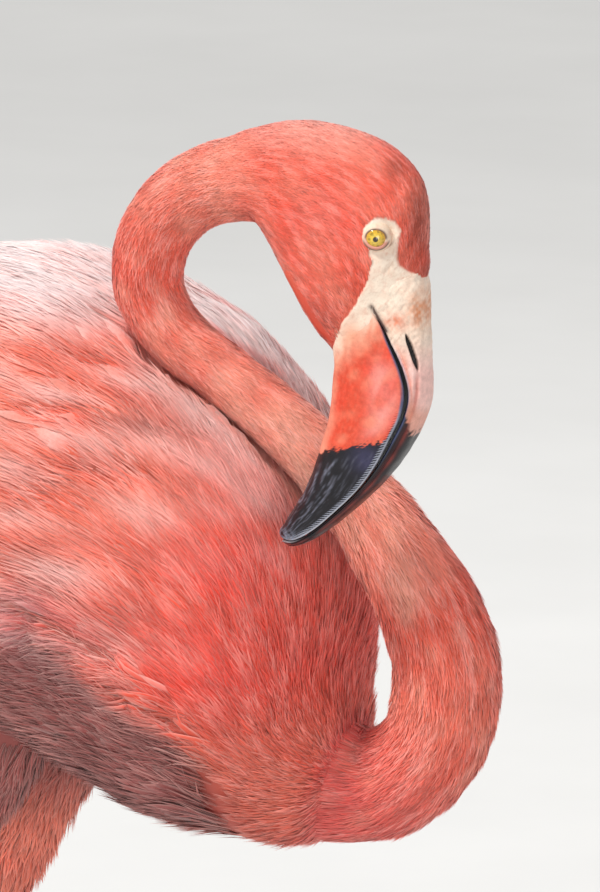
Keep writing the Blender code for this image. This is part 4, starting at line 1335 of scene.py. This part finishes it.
def coat_flanks(mantle, trunk):
    """Belly and flanks: soft feathers and loose streaks below the wings' edges, and on the rump."""
    feathers, strands = [], []
    for seed, hide, count in ((17, mantle, 2900), (19, trunk, 700)):
        x, z = hide.points[..., 0], hide.points[..., 2]
        below = smooth_step(-76, -92, x) * (z < edge_height(x) + 6) * (x > -400)
        weight = below if hide is mantle else (x < -270) * 1.0
        u, v = hide.scatter(count, weight, seed)
        feathers.append(
            plumage(
                hide, u, v, seed=seed, length=26.0, width=10.0, lift=(0.3, 2.6), steps=4, columns=3, clump=26,
                stray=0.14, tip=2.4, roll=0.15,
            )
        )
        u, v = hide.scatter(7 * count, weight, seed + 1)
        strands.append(
            plumage(
                hide, u, v, seed=seed + 1, length=18.0, width=1.4, lift=(0.8, 4.0), steps=2, columns=2,
                stray=0.24, tip=1.5, root=0.5, bend=0.16, streak=0.3,
            )
        )
    feather_finish = feather_material("flank_feathers", 0.35, 0.4, 0.4, barbs=26)
    strand_finish = feather_material("flank_streaks", 0.35, 0.35, 0.5)
    coat_piece("coat_flank_feathers", feather_finish, feathers)
    coat_piece("coat_flank_streaks", strand_finish, strands)


def coat_fringe(hide):
    """Loose tufts that hang over the belly from the lower edge of the breast and the coverts."""
    x, y, z = (hide.points[..., k] for k in range(3))
    band = (np.abs(z - edge_height(x) - 5) < 8) * smooth_step(-72, -84, x) * smooth_step(-300, -260, x)
    u, v = hide.scatter(1500, band * (np.abs(y) > 20), 41)
    down = -0.35 * np.sign(hide.read(hide.points, u, v)[:, 1])
    tufts = plumage(
        hide, u, v, seed=41, length=22.0, width=3.2, lift=(1.0, 4.2), steps=6, columns=3, clump=12, stray=0.2,
        turn=down, tip=2.0, root=0.4, bend=0.10, roll=0.3, streak=0.45,
    )
    u, v = hide.scatter(8000, band * (np.abs(y) > 20), 42)
    down = -0.35 * np.sign(hide.read(hide.points, u, v)[:, 1])
    strands = plumage(
        hide, u, v, seed=42, length=24.0, width=1.0, lift=(1.2, 5.0), steps=4, columns=2, clump=9, stray=0.22,
        turn=down, tip=1.5, root=0.5, bend=0.12, streak=0.45,
    )
    finish = feather_material("fringe_tufts", 0.5, 0.35, 0.4)
    coat_piece("coat_fringe", finish, [tufts])
    coat_piece("coat_fringe_strands", finish, [strands])


def covert_rows(hide, low, high, step, spacing, seed):
    """Roots of wing and back feathers in staggered rows behind the breast, above the wings' lower edge."""
    places = []
    for k, row in enumerate(np.arange(low, high, step)):
        girth = np.linalg.norm(hide.around[int(row)], axis=-1).sum()
        count = int(girth / spacing)
        v = (np.arange(count) + 0.5 * (k % 2)) / count * hide.sides
        places.append(np.column_stack([np.full(count, row), v]))
    places = np.concatenate(places)
    rng = np.random.default_rng(seed)
    u = places[:, 0] + rng.uniform(-2.0, 2.0, len(places))
    v = places[:, 1] + rng.uniform(-0.6, 0.6, len(places))
    at = hide.read(hide.points, u, v)
    keep = (at[:, 2] > edge_height(at[:, 0]) - 2) & (at[:, 0] < -96)
    return u[keep], v[keep], at[keep]


def coat_wings(hide):
    """Back, shoulders and folded wings: staggered rows of soft feathers, long above and rounder below.

    Each one is rolled a little so that its lower edge stands off the next, like a tile, and fine
    wisps lie over them all.
    """
    finish = feather_material("covert_feathers", 0.5, 0.42, 0.3, barbs=46)
    u, v, at = covert_rows(hide, 56, 186, 4.6, 8.6, 23)
    rear = smooth_step(-230, -330, at[:, 0])
    high = smooth_step(-150, -100, at[:, 2] - 0.1 * (at[:, 0] + 150))
    grown = 0.45 + 0.55 * smooth_step(-96, -150, at[:, 0])
    length = np.minimum((36 + 34 * high + 30 * rear * (1 - high)) * grown, (at[:, 0] + WING_REAR) / 1.2)
    width = (11.5 + 2.5 * high + 4 * rear) * grown
    roll = np.clip(-at[:, 1] / 40, -1, 1) * 0.11
    left = at[:, 1] > 0
    for name, side in (("left", left & (length > 6)), ("right", ~left & (length > 6))):
        bundle = plumage(
            hide, u[side], v[side], seed=23, length=length[side], width=width[side], tilt=roll[side],
            lift=(0.4, 3.2), steps=8, columns=5, clump=40, stray=0.09, tip=2.4, root=0.45, camber=0.22,
            roll=0.10, ruffle=0.45, bend=0.05, rounding=0.6, streak=0.35, lane=16.0,
        )
        coat_piece("coat_wing_" + name, finish, [bundle])
    x, z = hide.points[..., 0], hide.points[..., 2]
    weight = (z > edge_height(x) - 3) * smooth_step(-88, -108, x) * smooth_step(-400, -300, x)
    finish = feather_material("wing_wisps", 0.4, 0.12, 0.32)
    for name, seed in (("a", 29), ("b", 30)):
        u, v = hide.scatter(30000, weight, seed)
        wisps = plumage(
            hide, u, v, seed=seed, length=22.0, width=1.05, lift=(1.5, 4.2), steps=2, columns=2, clump=24,
            stray=0.10, tip=1.5, root=0.5, ruffle=0.4, bend=0.06, streak=0.5, lane=9.0,
        )
        coat_piece("coat_wing_wisps_" + name, finish, [wisps])


def coat_thighs(hides):
    """Thighs: short soft streaks that point down and thin out above the bare shin."""
    bundles = []
    for seed, (name, _) in enumerate(SIDES, 33):
        hide = hides["leg_" + name]
        height = hide.points[..., 2]
        weight = smooth_step(THIGH_END - 10, THIGH_END, height) * (height < -222)
        u, v = hide.scatter(6500, weight, seed)
        bundles.append(
            plumage(
                hide, u, v, seed=seed, length=12.0, width=1.4, lift=(0.2, 3.4), steps=2, columns=2, clump=8,
                stray=0.2, tip=1.5, root=0.6,
            )
        )
    coat_piece("coat_thighs", feather_material("thigh_streaks", 0.35, 0.45, 0.5), bundles)


def quills(root, run, up, length, width, seed, droop=0.0, marking=FLAME):
    """Long stiff feathers given one by one: root place, direction, upward direction, length and width.

    A quill's middle line runs straight and droops by a share of its length squared. Its vane is a
    thin blade, cambered, with its shaft raised along the middle.
    """
    count = len(root)
    t = np.linspace(0, 1, QUILL_STEPS + 1)
    across = np.linspace(-1, 1, QUILL_COLUMNS)
    run, up = unit(run), unit(up)
    side = unit(np.cross(up, run))
    up = np.cross(run, side)
    reach = length[:, None] * t
    middle = root[:, None, :] + run[:, None, :] * reach[..., None]
    middle -= up[:, None, :] * (droop * length[:, None] * t**2)[..., None]
    half = width[:, None] / 2 * blade_shape(t, QUILL_TIP, 0.3)
    points = middle[:, :, None, :] + side[:, None, None, :] * (half[..., None] * across)[..., None]
    shaft = 0.35 * ridge_line(across, 0.12) * (1 - t[:, None])
    camber = 0.22 * half[..., None] * (1 - across**2) + shaft
    points += up[:, None, None, :] * camber[..., None]
    shape = (count, QUILL_STEPS + 1, QUILL_COLUMNS)
    rng = np.random.default_rng(seed)
    normal = up[:, None, None, :] + side[:, None, None, :] * (0.5 * across)[None, None, :, None]
    marking = np.broadcast_to(marking, (count, 3))
    patch = uv_patch(t, across, shape)
    spread = np.stack([np.arange(count) / count, rng.uniform(0, 1, count)], -1)[:, None, None, :]
    return {
        "points": points,
        "normals": np.broadcast_to(unit(normal), (*shape, 3)),
        "tint": np.broadcast_to(rng.uniform(0.2, 0.8, count)[:, None, None], shape),
        "along": np.broadcast_to(t[None, :, None], shape),
        "across": np.broadcast_to(across, shape),
        "marking": np.broadcast_to(marking[:, None, None, :], (*shape, 3)),
        "uv": 0.02 + 0.96 * spread + patch,
    }


def coat_tail():
    """Twelve tail feathers in a shallow fan."""
    place = np.linspace(-1, 1, 12)
    fan = np.column_stack([-np.ones(12), 0.10 * place, -0.405 + 0.02 * place**2])
    root = np.column_stack([-318 - 6 * place**2, 15 * place, -130 - 3.0 * place**2 + 0.5 * np.abs(place)])
    up = np.column_stack([np.full(12, -0.37), 0.35 * place, np.full(12, 0.93)])
    length = 112 - 16 * place**2
    tone = mix(SALMON, BLUSH, np.array(0.4))
    tails = quills(root, fan, up, length, np.full(12, 13.0), 71, droop=0.02, marking=tone)
    finish = feather_material("tail_feathers", 0.5, 0.4, 0.3, barbs=120)
    return coat_piece("coat_tail", finish, [tails])


def folded_row(side, tips, spread, height, lean, length, width, tone, seed):
    """One wing's row of long feathers, given for 9 shares from outside in as (start, end) pairs.

    tips and height are the forward place and height of the tips, spread their distance from the
    middle, lean how much they close in and drop, and up is the outward side of the wing.
    """
    s = np.linspace(0, 1, 9)
    ends = [np.interp(s, (0, 1), pair) for pair in (tips, spread, height, length)]
    inwards, drop = (np.interp(s, (0, 1), pair) for pair in lean)
    run = np.column_stack([-np.ones(9), -side * inwards, drop])
    tip = np.column_stack([ends[0], side * ends[1], ends[2]])
    up = np.column_stack([np.full(9, -0.2), side * (0.85 - 0.25 * s), np.full(9, 0.5)])
    root = tip - unit(run) * ends[3][:, None]
    return quills(root, run, up, ends[3], np.full(9, width), seed, marking=tone(s))


def coat_flight():
    """The folded wings' long feathers: pink tertials over black primaries at the rear."""
    pink, dark = [], []
    for side in (1, -1):
        pink.append(
            folded_row(
                side, (-372, -446), (38, 14), (-130, -150), ((0.30, 0.16), (-0.34, -0.30)), (138, 128), 20.0,
                lambda s: mix(ROSE, SALMON, s), 81 + side,
            )
        )
        dark.append(
            folded_row(
                side, (-388, -458), (32, 9), (-160, -164), ((0.26, 0.16), (-0.02, -0.05)), (140, 150), 12.0,
                lambda s: np.broadcast_to(BLACK, (9, 3)), 91 + side,
            )
        )
    pink_finish = feather_material("tertial_feathers", 0.5, 0.35, 0.35, barbs=150)
    dark_finish = feather_material("primary_feathers", 0.08, 0.2, 0.3, barbs=150)
    coat_piece("coat_tertials", pink_finish, pink)
    coat_piece("coat_primaries", dark_finish, dark)


# ---------------------------------------------------------------- bill, eyes and claws


def bill_frame(ridge, widths, share):
    """Ridge curve, mouth curve and half width at shares of the bill's length."""
    top, base = smooth_rows(ridge, share), smooth_rows(MOUTH, share)
    width = smooth_rows([[w] for w in widths], share)[:, 0]
    end = np.sqrt(np.clip(1 - ((share - 0.965) / 0.0352).clip(0, 1) ** 2, 0, 1))
    return top, base, np.maximum(width * (0.35 + 0.65 * end), 0.5)


def bill_points(top, base, width, rise, spread, share):
    """Points of a bill half: base plus a rise towards the ridge, and a spread along Y of the half width.

    Towards the foot the spread widens to carry on the face's taper, and the rise shrinks a little,
    so that the ridge slants in under the forehead and the throat.
    """
    points = np.zeros((*rise.shape, 3))
    height = (top - base)[:, None, :] * (rise * (1 - 0.06 * smooth_step(0.05, 0.0, share)))[..., None]
    points[..., 0] = base[:, None, 0] + height[..., 0]
    points[..., 2] = base[:, None, 1] + height[..., 1]
    points[..., 1] = HEAD_SIDE + width[:, None] * spread * (1 + 0.14 * smooth_step(0.20, 0.0, share))
    return points


def bill_section(rows, columns, floor_columns, power, bulge):
    """Rise and spread round a bill half: an arch from edge to edge, and the sunken mouth face back.

    rise = sin(turn) ** power and spread = cos(turn) ** bulge. The columns crowd towards the edges.
    """
    even = np.linspace(0, 1, columns)
    turn = math.pi * (even - 0.11 * np.sin(2 * math.pi * even))
    rise = np.abs(np.sin(turn)) ** power
    spread = np.sign(np.cos(turn)) * np.abs(np.cos(turn)) ** bulge
    back = np.linspace(-1, 1, floor_columns + 2)[1:-1]
    rise = np.concatenate([rise, 0.10 * (1 - back**2)])
    spread = np.concatenate([spread, 0.92 * back])
    return np.tile(rise, (rows, 1)), np.tile(spread, (rows, 1))


def upper_bill():
    """The thin lid of the bill: a rounded ridge, a long side groove with the nostril in it, a black tip."""
    rows, columns, floor_columns = 420, 124, 12
    stations = np.linspace(0, 1, rows)
    top, base, width = bill_frame(CULMEN, UPPER_BILL_WIDTHS, stations)
    base = base + unit(top - base) * 0.14
    rise, spread = bill_section(rows, columns, floor_columns, 0.9, 0.75)
    share = np.broadcast_to(stations[:, None], rise.shape)
    outer = np.arange(columns + floor_columns)[None, :] < columns
    height = np.linalg.norm(top - base, axis=1)[:, None]
    groove_rise = np.interp(share, (0.10, 0.13, 0.225, 0.33, 0.45, 0.9), (0.52, 0.57, 0.75, 0.58, 0.46, 0.5))
    off = (rise - groove_rise) * height
    edge = rise * height
    points = bill_points(top, base, width, rise, spread, share)
    middle = np.stack([base[:, 0], np.full(rows, HEAD_SIDE), base[:, 1]], -1)[:, None, :]
    outward = unit(points - middle)
    slit_width = 0.9 * smooth_step(0.122, 0.16, share) * smooth_step(0.236, 0.20, share)
    slit = smooth_step(slit_width + 0.4, slit_width - 0.2, np.abs(off))
    slit = slit * smooth_step(0, 0.3, slit_width) * outer
    groove = ridge_line(off, 0.8) * smooth_step(0.22, 0.25, share) * smooth_step(0.9, 0.6, share) * outer
    lip = ridge_line(off + 1.9, 0.7) * smooth_step(0.10, 0.16, share) * smooth_step(0.5, 0.4, share) * outer
    rim = ridge_line(edge - 0.75, 0.55) * smooth_step(0.05, 0.12, share) * outer
    under_rim = ridge_line(edge - 1.9, 0.5) * smooth_step(0.10, 0.2, share)
    under_rim = under_rim * smooth_step(0.97, 0.9, share) * outer
    creases = ridge_line(np.sin(off * 1.5 + 3 * ripple(points, 16, 100)), 0.35)
    creases = creases * smooth_step(0.26, 0.12, share)
    wave = 0.16 * ripple(points, 8.0, 101) + 0.12 * ripple(points, 2.4, 102) * smooth_step(0.4, 0.1, share)
    relief = 0.4 * lip + 0.3 * rim - 0.35 * under_rim - 0.7 * groove - 1.8 * slit - 0.14 * creases + wave
    points += outward * (relief * outer)[..., None]
    # colours, from the foot to the tip
    colour = painted(
        plain(BILL_PALE, points),
        (linear(246, 206, 196), 0.8 * np.clip(ripple(points, 10, 103), 0, 1)),
        (linear(226, 146, 120), 0.7 * np.clip(ripple(points, 7, 106), 0, 1) * smooth_step(0.6, 0.3, rise)),
        # painted shade: a darker line along the sunk side groove
        (linear(200, 106, 92), 0.7 * ridge_line(off, 0.9) * smooth_step(0.2, 0.3, share)),
        (linear(232, 150, 132), 0.6 * ridge_line(edge - 2.2, 0.9)),
        # painted highlight: a pale lilac-grey on the raised rim along the edge
        (linear(206, 176, 186), 0.8 * rim * smooth_step(0.12, 0.22, share)),
        (linear(214, 138, 112), 0.6 * smooth_step(0.33, 0.39, share)),
        (bare_colours(points), smooth_step(0.24, 0.12, share)),
    )
    start = 0.406 + 0.030 * rise + 0.010 * ripple(points, 3.4, 104) + 0.006 * ripple(points, 1.4, 107)
    dark = smooth_step(-0.010, 0.014, share - start)
    dark = np.maximum(dark, smooth_step(1.1, 0.5, edge) * smooth_step(0.30, 0.36, share))
    dark = np.maximum(dark, np.where(outer, 0, 1) * smooth_step(0.22, 0.32, share))
    dark = np.maximum(dark, smooth_step(0.3, 0.1, edge))
    tone = painted(
        plain(BLACK, points),
        (linear(136, 56, 50), 0.8 * ridge_line(rise - 0.62, 0.13)),
        (linear(70, 30, 32), 0.8 * ridge_line(rise - 0.36, 0.1)),
        (BLACK, np.clip(0.4 + 0.6 * ripple(points, 9, 105), 0, 1) * (share < 0.93)),
        # painted highlight: a blue-grey on the raised rim in the black part
        (linear(96, 104, 146), 0.8 * rim * smooth_step(0.62, 0.45, share)),
        # painted highlights: a pale line along the edge and another along the ridge near the tip
        (BONE, 0.45 * ridge_line(edge - 0.7, 0.4) * smooth_step(0.86, 0.95, share)),
        (BONE, 0.55 * ridge_line(rise - 0.955, 0.03) * smooth_step(0.80, 0.90, share)),
    )
    colour = mix(colour, tone, dark)
    # painted shade: the nostril's slit nearly black
    colour = mix(colour, linear(12, 6, 8), np.clip(1.2 * slit, 0, 1))
    return points, colour, dark


def lower_bill():
    """The deep trough of the bill: swollen sides, a black grooved tip, and fine plates along its rim."""
    rows, columns, floor_columns = 640, 96, 12
    stations = np.interp(np.linspace(0, 1, rows), (0, 0.2, 1), (0, 0.38, 1))
    top, base, width = bill_frame(GONYS, LOWER_BILL_WIDTHS, stations)
    base = base + unit(top - base) * 0.14
    rise, spread = bill_section(rows, columns, floor_columns, 0.8, 0.85)
    share = np.broadcast_to(stations[:, None], rise.shape)
    outer = np.arange(columns + floor_columns)[None, :] < columns
    height = np.linalg.norm(top - base, axis=1)[:, None]
    points = bill_points(top, base, width, rise, spread, share)
    edge = rise * height
    middle = base * 0.6 + top * 0.4
    middle = np.stack([middle[:, 0], np.full(rows, HEAD_SIDE), middle[:, 1]], -1)[:, None, :]
    outward = unit(points - middle)
    rim = np.interp(share, (0, 0.12, 0.22, 0.35, 0.5, 1), (0.25, 0.35, 0.6, 1.2, 2.3, 2.6))
    plates = np.sin(share * 2 * math.pi * 112)
    on_rim = smooth_step(rim + 0.25, rim - 0.25, edge) * outer
    toothed = smooth_step(0.36, 0.44, share) * smooth_step(0.985, 0.96, share) * outer
    reach = 3.1 + 0.5 * plates
    band = smooth_step(reach + 0.25, reach - 0.25, edge) * smooth_step(0.12, 0.35, edge) * toothed
    slots = smooth_step(0.3, -0.3, plates) * smooth_step(1.0, 1.3, edge)
    slots = slots * smooth_step(3.3, 2.9, edge) * toothed
    bead = ridge_line(edge - 0.62, 0.30) * toothed
    channel = ridge_line(edge - rim - 0.35, 0.4) * outer * smooth_step(0.14, 0.24, share)
    lines = np.abs(np.sin(rise * 19 + 2.6 * share + 1.3 * ripple(points, 13, 111))) ** 18
    lines = lines + 0.7 * np.abs(np.sin(rise * 33 - 1.7 * share + 1.1 * ripple(points, 9, 120))) ** 24
    lines = lines * smooth_step(0.50, 0.55, share) * (0.25 + 0.75 * smooth_step(0.3, 0.6, rise))
    lines = lines * smooth_step(rim + 0.8, rim + 1.8, edge) * outer
    chipped = lines * np.clip(0.65 + 0.8 * ripple(points, 7.0, 116), 0, 1)
    wave = 0.10 * ripple(points, 6.0, 112)
    relief = 0.14 * band + 0.16 * bead - 0.30 * slots - 0.3 * channel + 0.16 * lines + wave
    points += outward * (relief * outer)[..., None]
    # colours, from the foot to the tip
    colour = plain(BILL_ORANGE, points)
    # painted highlight: a pale pink band along the side near the mouth
    sheen = ridge_line(rise - 0.22, 0.17) * smooth_step(0.14, 0.26, share) * smooth_step(0.50, 0.42, share)
    colour = painted(
        colour,
        (linear(240, 158, 148), 0.8 * sheen),
        (linear(240, 140, 110), 0.5 * np.clip(ripple(points, 9, 117), 0, 1)),
        # painted highlight: a paler edge along the keel
        (linear(245, 160, 134), 0.7 * smooth_step(0.78, 0.95, rise)),
        (linear(222, 62, 38), 0.5 * np.clip(ripple(points, 12, 113), 0, 1)),
    )
    grain = np.clip(0.8 * ripple(points * (1, 1, 0.6), 1.6, 122), 0, 1)
    colour = mix(colour, linear(246, 156, 128), 0.14 * grain)
    streaks = np.clip(0.5 + 0.5 * np.sin(rise * 26 + 2 * ripple(points, 10, 118)), 0, 1)
    colour = mix(colour, linear(246, 176, 146), 0.8 * smooth_step(0.17, 0.05, share - 0.015 * streaks))
    colour = mix(colour, bare_colours(points), smooth_step(0.10, 0.02, share - 0.012 * streaks))
    start = 0.456 + 0.045 * (1 - rise) + 0.010 * ripple(points, 3.6, 114) + 0.008 * ripple(points, 1.2, 115)
    dark = smooth_step(-0.006, 0.006, share - start)
    dark = np.maximum(dark, on_rim * smooth_step(0.08, 0.16, share))
    dark = np.maximum(dark, np.where(outer, 0, 1) * smooth_step(0.04, 0.14, share))
    tone = plain(BLACK, points)
    tone = mix(tone, linear(92, 96, 130), 0.75 * on_rim * smooth_step(0.48, 0.38, share))
    ledge = np.where(outer, 0, 1) * smooth_step(0.35, 0.75, np.abs(spread))
    ledge = ledge * smooth_step(0.56, 0.42, share)
    tone = painted(
        tone,
        (linear(112, 114, 142), 0.8 * ledge),
        # painted highlight: a blue-violet patch on the black near the mouth
        (linear(78, 76, 116), 0.5 * spot(points, (-6, HEAD_SIDE - 9, -90), (9, 8, 8))),
        (SLATE, 0.75 * chipped),
        (linear(150, 154, 170), 0.75 * band),
        (BONE, 0.7 * bead),
        (linear(10, 9, 12), 0.9 * slots),
    )
    nail = smooth_step(0.84, 0.95, share) * outer
    tone = mix(tone, linear(150, 158, 178), 0.8 * nail * np.clip(0.55 + 0.7 * ripple(points, 2.6, 119), 0, 1))
    colour = mix(colour, tone, dark)
    return points, colour, dark


def bill_piece(name, made, node):
    """Closes a bill half's rings and shows it in place of its solid."""
    points, colour, dark = made
    values = {"dark": np.append(dark, [0, 1])}
    mesh = make_mesh(name, *shell_faces(points), values, with_poles(colour))
    piece = add_piece(name, mesh, bill_material(name + "_horn"))
    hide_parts(node)


def eye_piece(name, node, side):
    """An eyeball about its own axis of sight: slight cornea, flecked iris, small pupil, dark rim."""
    polar = np.linspace(0, math.pi, 110)[:, None] * np.ones(120)
    polar = polar - 0.32 * np.sin(polar)
    turn = np.linspace(0, 2 * math.pi, 120, endpoint=False)[None, :] * np.ones((110, 1))
    axis = eye_axis(side)
    right = unit(np.cross(axis, (0.0, 0.0, 1.0)))
    up = np.cross(right, axis)
    radius = EYE_RADIUS + 0.3 * ridge_line(polar, 0.55)
    ring = right * np.cos(turn)[..., None] + up * np.sin(turn)[..., None]
    way = axis * np.cos(polar)[..., None] + ring * np.sin(polar)[..., None]
    points = eye_centre(side) + radius[..., None] * way
    off = np.sin(polar) * EYE_RADIUS
    rays = 0.5 + 0.5 * np.sin(turn * 31 + 3 * np.sin(turn * 5))
    colour = plain(linear(232, 190, 44), points)
    colour = mix(colour, linear(196, 140, 30), 0.6 * rays * smooth_step(0.9, 2.6, off))
    flecks = smooth_step(0.25, 0.6, ripple(points, 1.5, 121))
    colour = painted(
        colour,
        (linear(122, 104, 22), 0.7 * flecks * smooth_step(0.8, 1.6, off)),
        (linear(246, 214, 96), 0.5 * ridge_line(off - 1.5, 0.6)),
        (linear(206, 140, 60), 0.6 * ridge_line(off - 3.6, 0.5)),
        (linear(44, 34, 20), smooth_step(3.9, 4.3, off)),
        (linear(30, 14, 8), smooth_step(1.1, 0.9, off) * (polar < 1.5)),
    )
    mesh = make_mesh(name, *shell_faces(points), marking=with_poles(colour))
    piece = add_piece(name, mesh, EYE_FINISH)
    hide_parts(node)


def lid_piece(name, side):
    """The bare eyelids, closed round on themselves: a dark upper edge that is partly painted shade, and a
    pink lower fold whose crease is painted shade.
    """
    rings, angle = lid_rings(side)
    rows, sides = rings.shape[:2]
    faces = grid_faces(rows, sides, wrap=True, close=True)
    corner = rings.reshape(-1, 3)[faces] - rings.reshape(-1, 3).mean(0)
    out = rings - rings.mean(1, keepdims=True)
    face_way = np.cross(corner[:, 1] - corner[:, 0], corner[:, 2] - corner[:, 1])
    if (face_way * out.reshape(-1, 3)[faces[:, 0]]).sum() < 0:
        faces = faces[:, ::-1]
    height = np.sin(np.linspace(0, 2 * math.pi, rows, endpoint=False))[:, None] * np.ones(sides)
    colour = painted(
        plain(linear(240, 216, 192), rings),
        (linear(214, 136, 118), 0.85 * smooth_step(-0.1, -0.6, height) * (angle < 0.3)),
        # painted shade: the dark crease below the lower lid
        (linear(72, 40, 34), 0.95 * smooth_step(-0.1, -0.6, height) * ridge_line(angle - 0.33, 0.09)),
        # the upper lid's dark margin, broadened by painted shade under the lid
        (linear(92, 58, 34), 0.9 * smooth_step(-0.35, 0.1, height) * ridge_line(angle, 0.10)),
    )
    values = {"bare": np.ones(rows * sides), "leg": np.zeros(rows * sides)}
    mesh = make_mesh(name, rings, faces, values, colour)
    return add_piece(name, mesh, bpy.data.materials["skin"])


def claws():
    """Eight claws: curved cones that leave the toes' ends and bend down to the floor."""
    all_points, all_faces, along, start = [], [], [], 0
    for name, side in SIDES:
        centre = foot_centre(name, side)
        toes = [(length, turn * side, 2.15, CLAW_LENGTH) for length, turn in zip(TOE_LENGTHS, TOE_TURNS)]
        toes.append((-22.0, -14 * side, 1.6, -4.5))
        for length, turn, size, reach in toes:
            t = np.linspace(0, 1, 18)
            run = np.array([math.cos(math.radians(turn)), math.sin(math.radians(turn)), 0])
            across = np.array([-run[1], run[0], 0])
            middle = centre + run * (length - 2.0 * np.sign(reach) + reach * 1.25 * t)[:, None]
            radius = size * (1 - 0.86 * t**1.3)
            middle[:, 2] += np.maximum(2.6 * (1 - t**2), 0) * size / 2.15 + 0.35
            arch = np.linspace(0, 2 * math.pi, 14, endpoint=False)
            rings = middle[:, None, :] + across * (radius[:, None] * np.cos(arch))[..., None]
            rings[:, :, 2] += radius[:, None] * np.sin(arch)
            rings[:, :, 2] = np.maximum(rings[:, :, 2], FLOOR + 0.05)
            points, triangles = shell_faces(rings)
            all_points.append(points)
            all_faces.append(triangles + start)
            along.append(np.append(np.repeat(t, 14), [0, 1]))
            start += len(points)
    values = {"along": np.concatenate(along)}
    mesh = make_mesh("claws", np.concatenate(all_points), np.concatenate(all_faces), values)
    add_piece("claws", mesh, claw_material())


# ---------------------------------------------------------------- studio


def add_light(name, kind, place, target, energy, size, colour=(1, 1, 1)):
    """A lamp that faces a target: a sun of a given angle, or a square area light of a given size."""
    data = bpy.data.lights.new(name, kind)
    data.energy, data.color = energy, colour
    setattr(data, "angle" if kind == "SUN" else "size", size)
    lamp = bpy.data.objects.new(name, data)
    bpy.context.scene.collection.objects.link(lamp)
    lamp.location = place
    lamp.rotation_euler = (Vector(target) - Vector(place)).to_track_quat("-Z", "Y").to_euler()


def studio():
    """A pale floor, a broad soft key high on the camera's left, a weak fill and an even sky."""
    size = 14.0
    corners = np.array([[-size, -size, 0], [size, -size, 0], [size, size, 0], [-size, size, 0]])
    mesh = bpy.data.meshes.new("studio_floor")
    mesh.from_pydata(corners.tolist(), [], [(0, 1, 2, 3)])
    floor = bpy.data.objects.new("studio_floor", mesh)
    bpy.context.scene.collection.objects.link(floor)
    mesh.materials.append(floor_material())
    world = bpy.data.worlds.new("studio")
    bpy.context.scene.world = world
    world.use_nodes = True
    sky = world.node_tree.nodes["Background"]
    sky.inputs["Color"].default_value = (0.93, 0.96, 1.0, 1)
    sky.inputs["Strength"].default_value = 0.55
    add_light("key", "SUN", (-1.5, -2.1, 3.6), (0, 0, 0.6), 2.6, math.radians(11), (1.0, 0.97, 0.92))
    add_light("fill", "AREA", (2.4, -3.4, 1.0), (0, 0, 0.6), 40, 2.0, (1.0, 0.98, 0.96))
    add_light("rim", "AREA", (-1.2, 2.6, 2.4), (0, 0, 0.6), 40, 1.2)
    bpy.context.scene.view_settings.view_transform = "Standard"


def camera():
    """A long lens at the bird's right front, a little above its head, aimed at its folded neck."""
    azimuth, elevation, distance, field = math.radians(25), math.radians(12), 6.0, 0.348
    level = math.cos(elevation)
    back = Vector((math.sin(azimuth) * level, -math.cos(azimuth) * level, math.sin(elevation)))
    right = Vector((math.cos(azimuth), math.sin(azimuth), 0))
    up = back.cross(right)
    eye = Vector(SHIFT) + Vector((0, -70.5, 0)) * MM
    target = eye - right * 0.0300 - up * 0.0815
    data = bpy.data.cameras.new("camera")
    data.sensor_fit, data.sensor_height = "VERTICAL", 24.0
    data.lens = 24.0 * distance / field
    data.clip_end = 100
    seen = bpy.data.objects.new("camera", data)
    bpy.context.scene.collection.objects.link(seen)
    turn = Matrix((right, up, back)).transposed().to_4x4()
    seen.matrix_world = Matrix.Translation(target + back * distance) @ turn
    bpy.context.scene.camera = seen


SHIFT = place_of_solids()
GROUPS = {"plume": plume_group(), "barbs": barb_group()}
EYE_FINISH = eye_material()


def main():
    """Builds every piece of the bird, and the studio round it."""
    hides = build_hides()
    for name, side in SIDES:
        hides["leg_" + name] = Hide(leg_rings(name, side))
    skin = build_skin(hides)
    flesh = [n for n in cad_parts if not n.startswith(("eye", "bill"))]
    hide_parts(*flesh)
    coat_neck_and_head(hides["neck_head"])
    coat_breast(hides["mantle"])
    coat_flanks(hides["mantle"], hides["trunk"])
    coat_fringe(hides["mantle"])
    coat_wings(hides["mantle"])
    coat_thighs(hides)
    coat_flight()
    coat_tail()
    bill_piece("bill_top", upper_bill(), "bill_upper")
    bill_piece("bill_bottom", lower_bill(), "bill_lower")
    for name, side in SIDES:
        eye_piece("eyeball_" + name, "eye_" + name, side)
        lid_piece("lid_" + name, side)
    claws()
    studio()
    camera()


main()
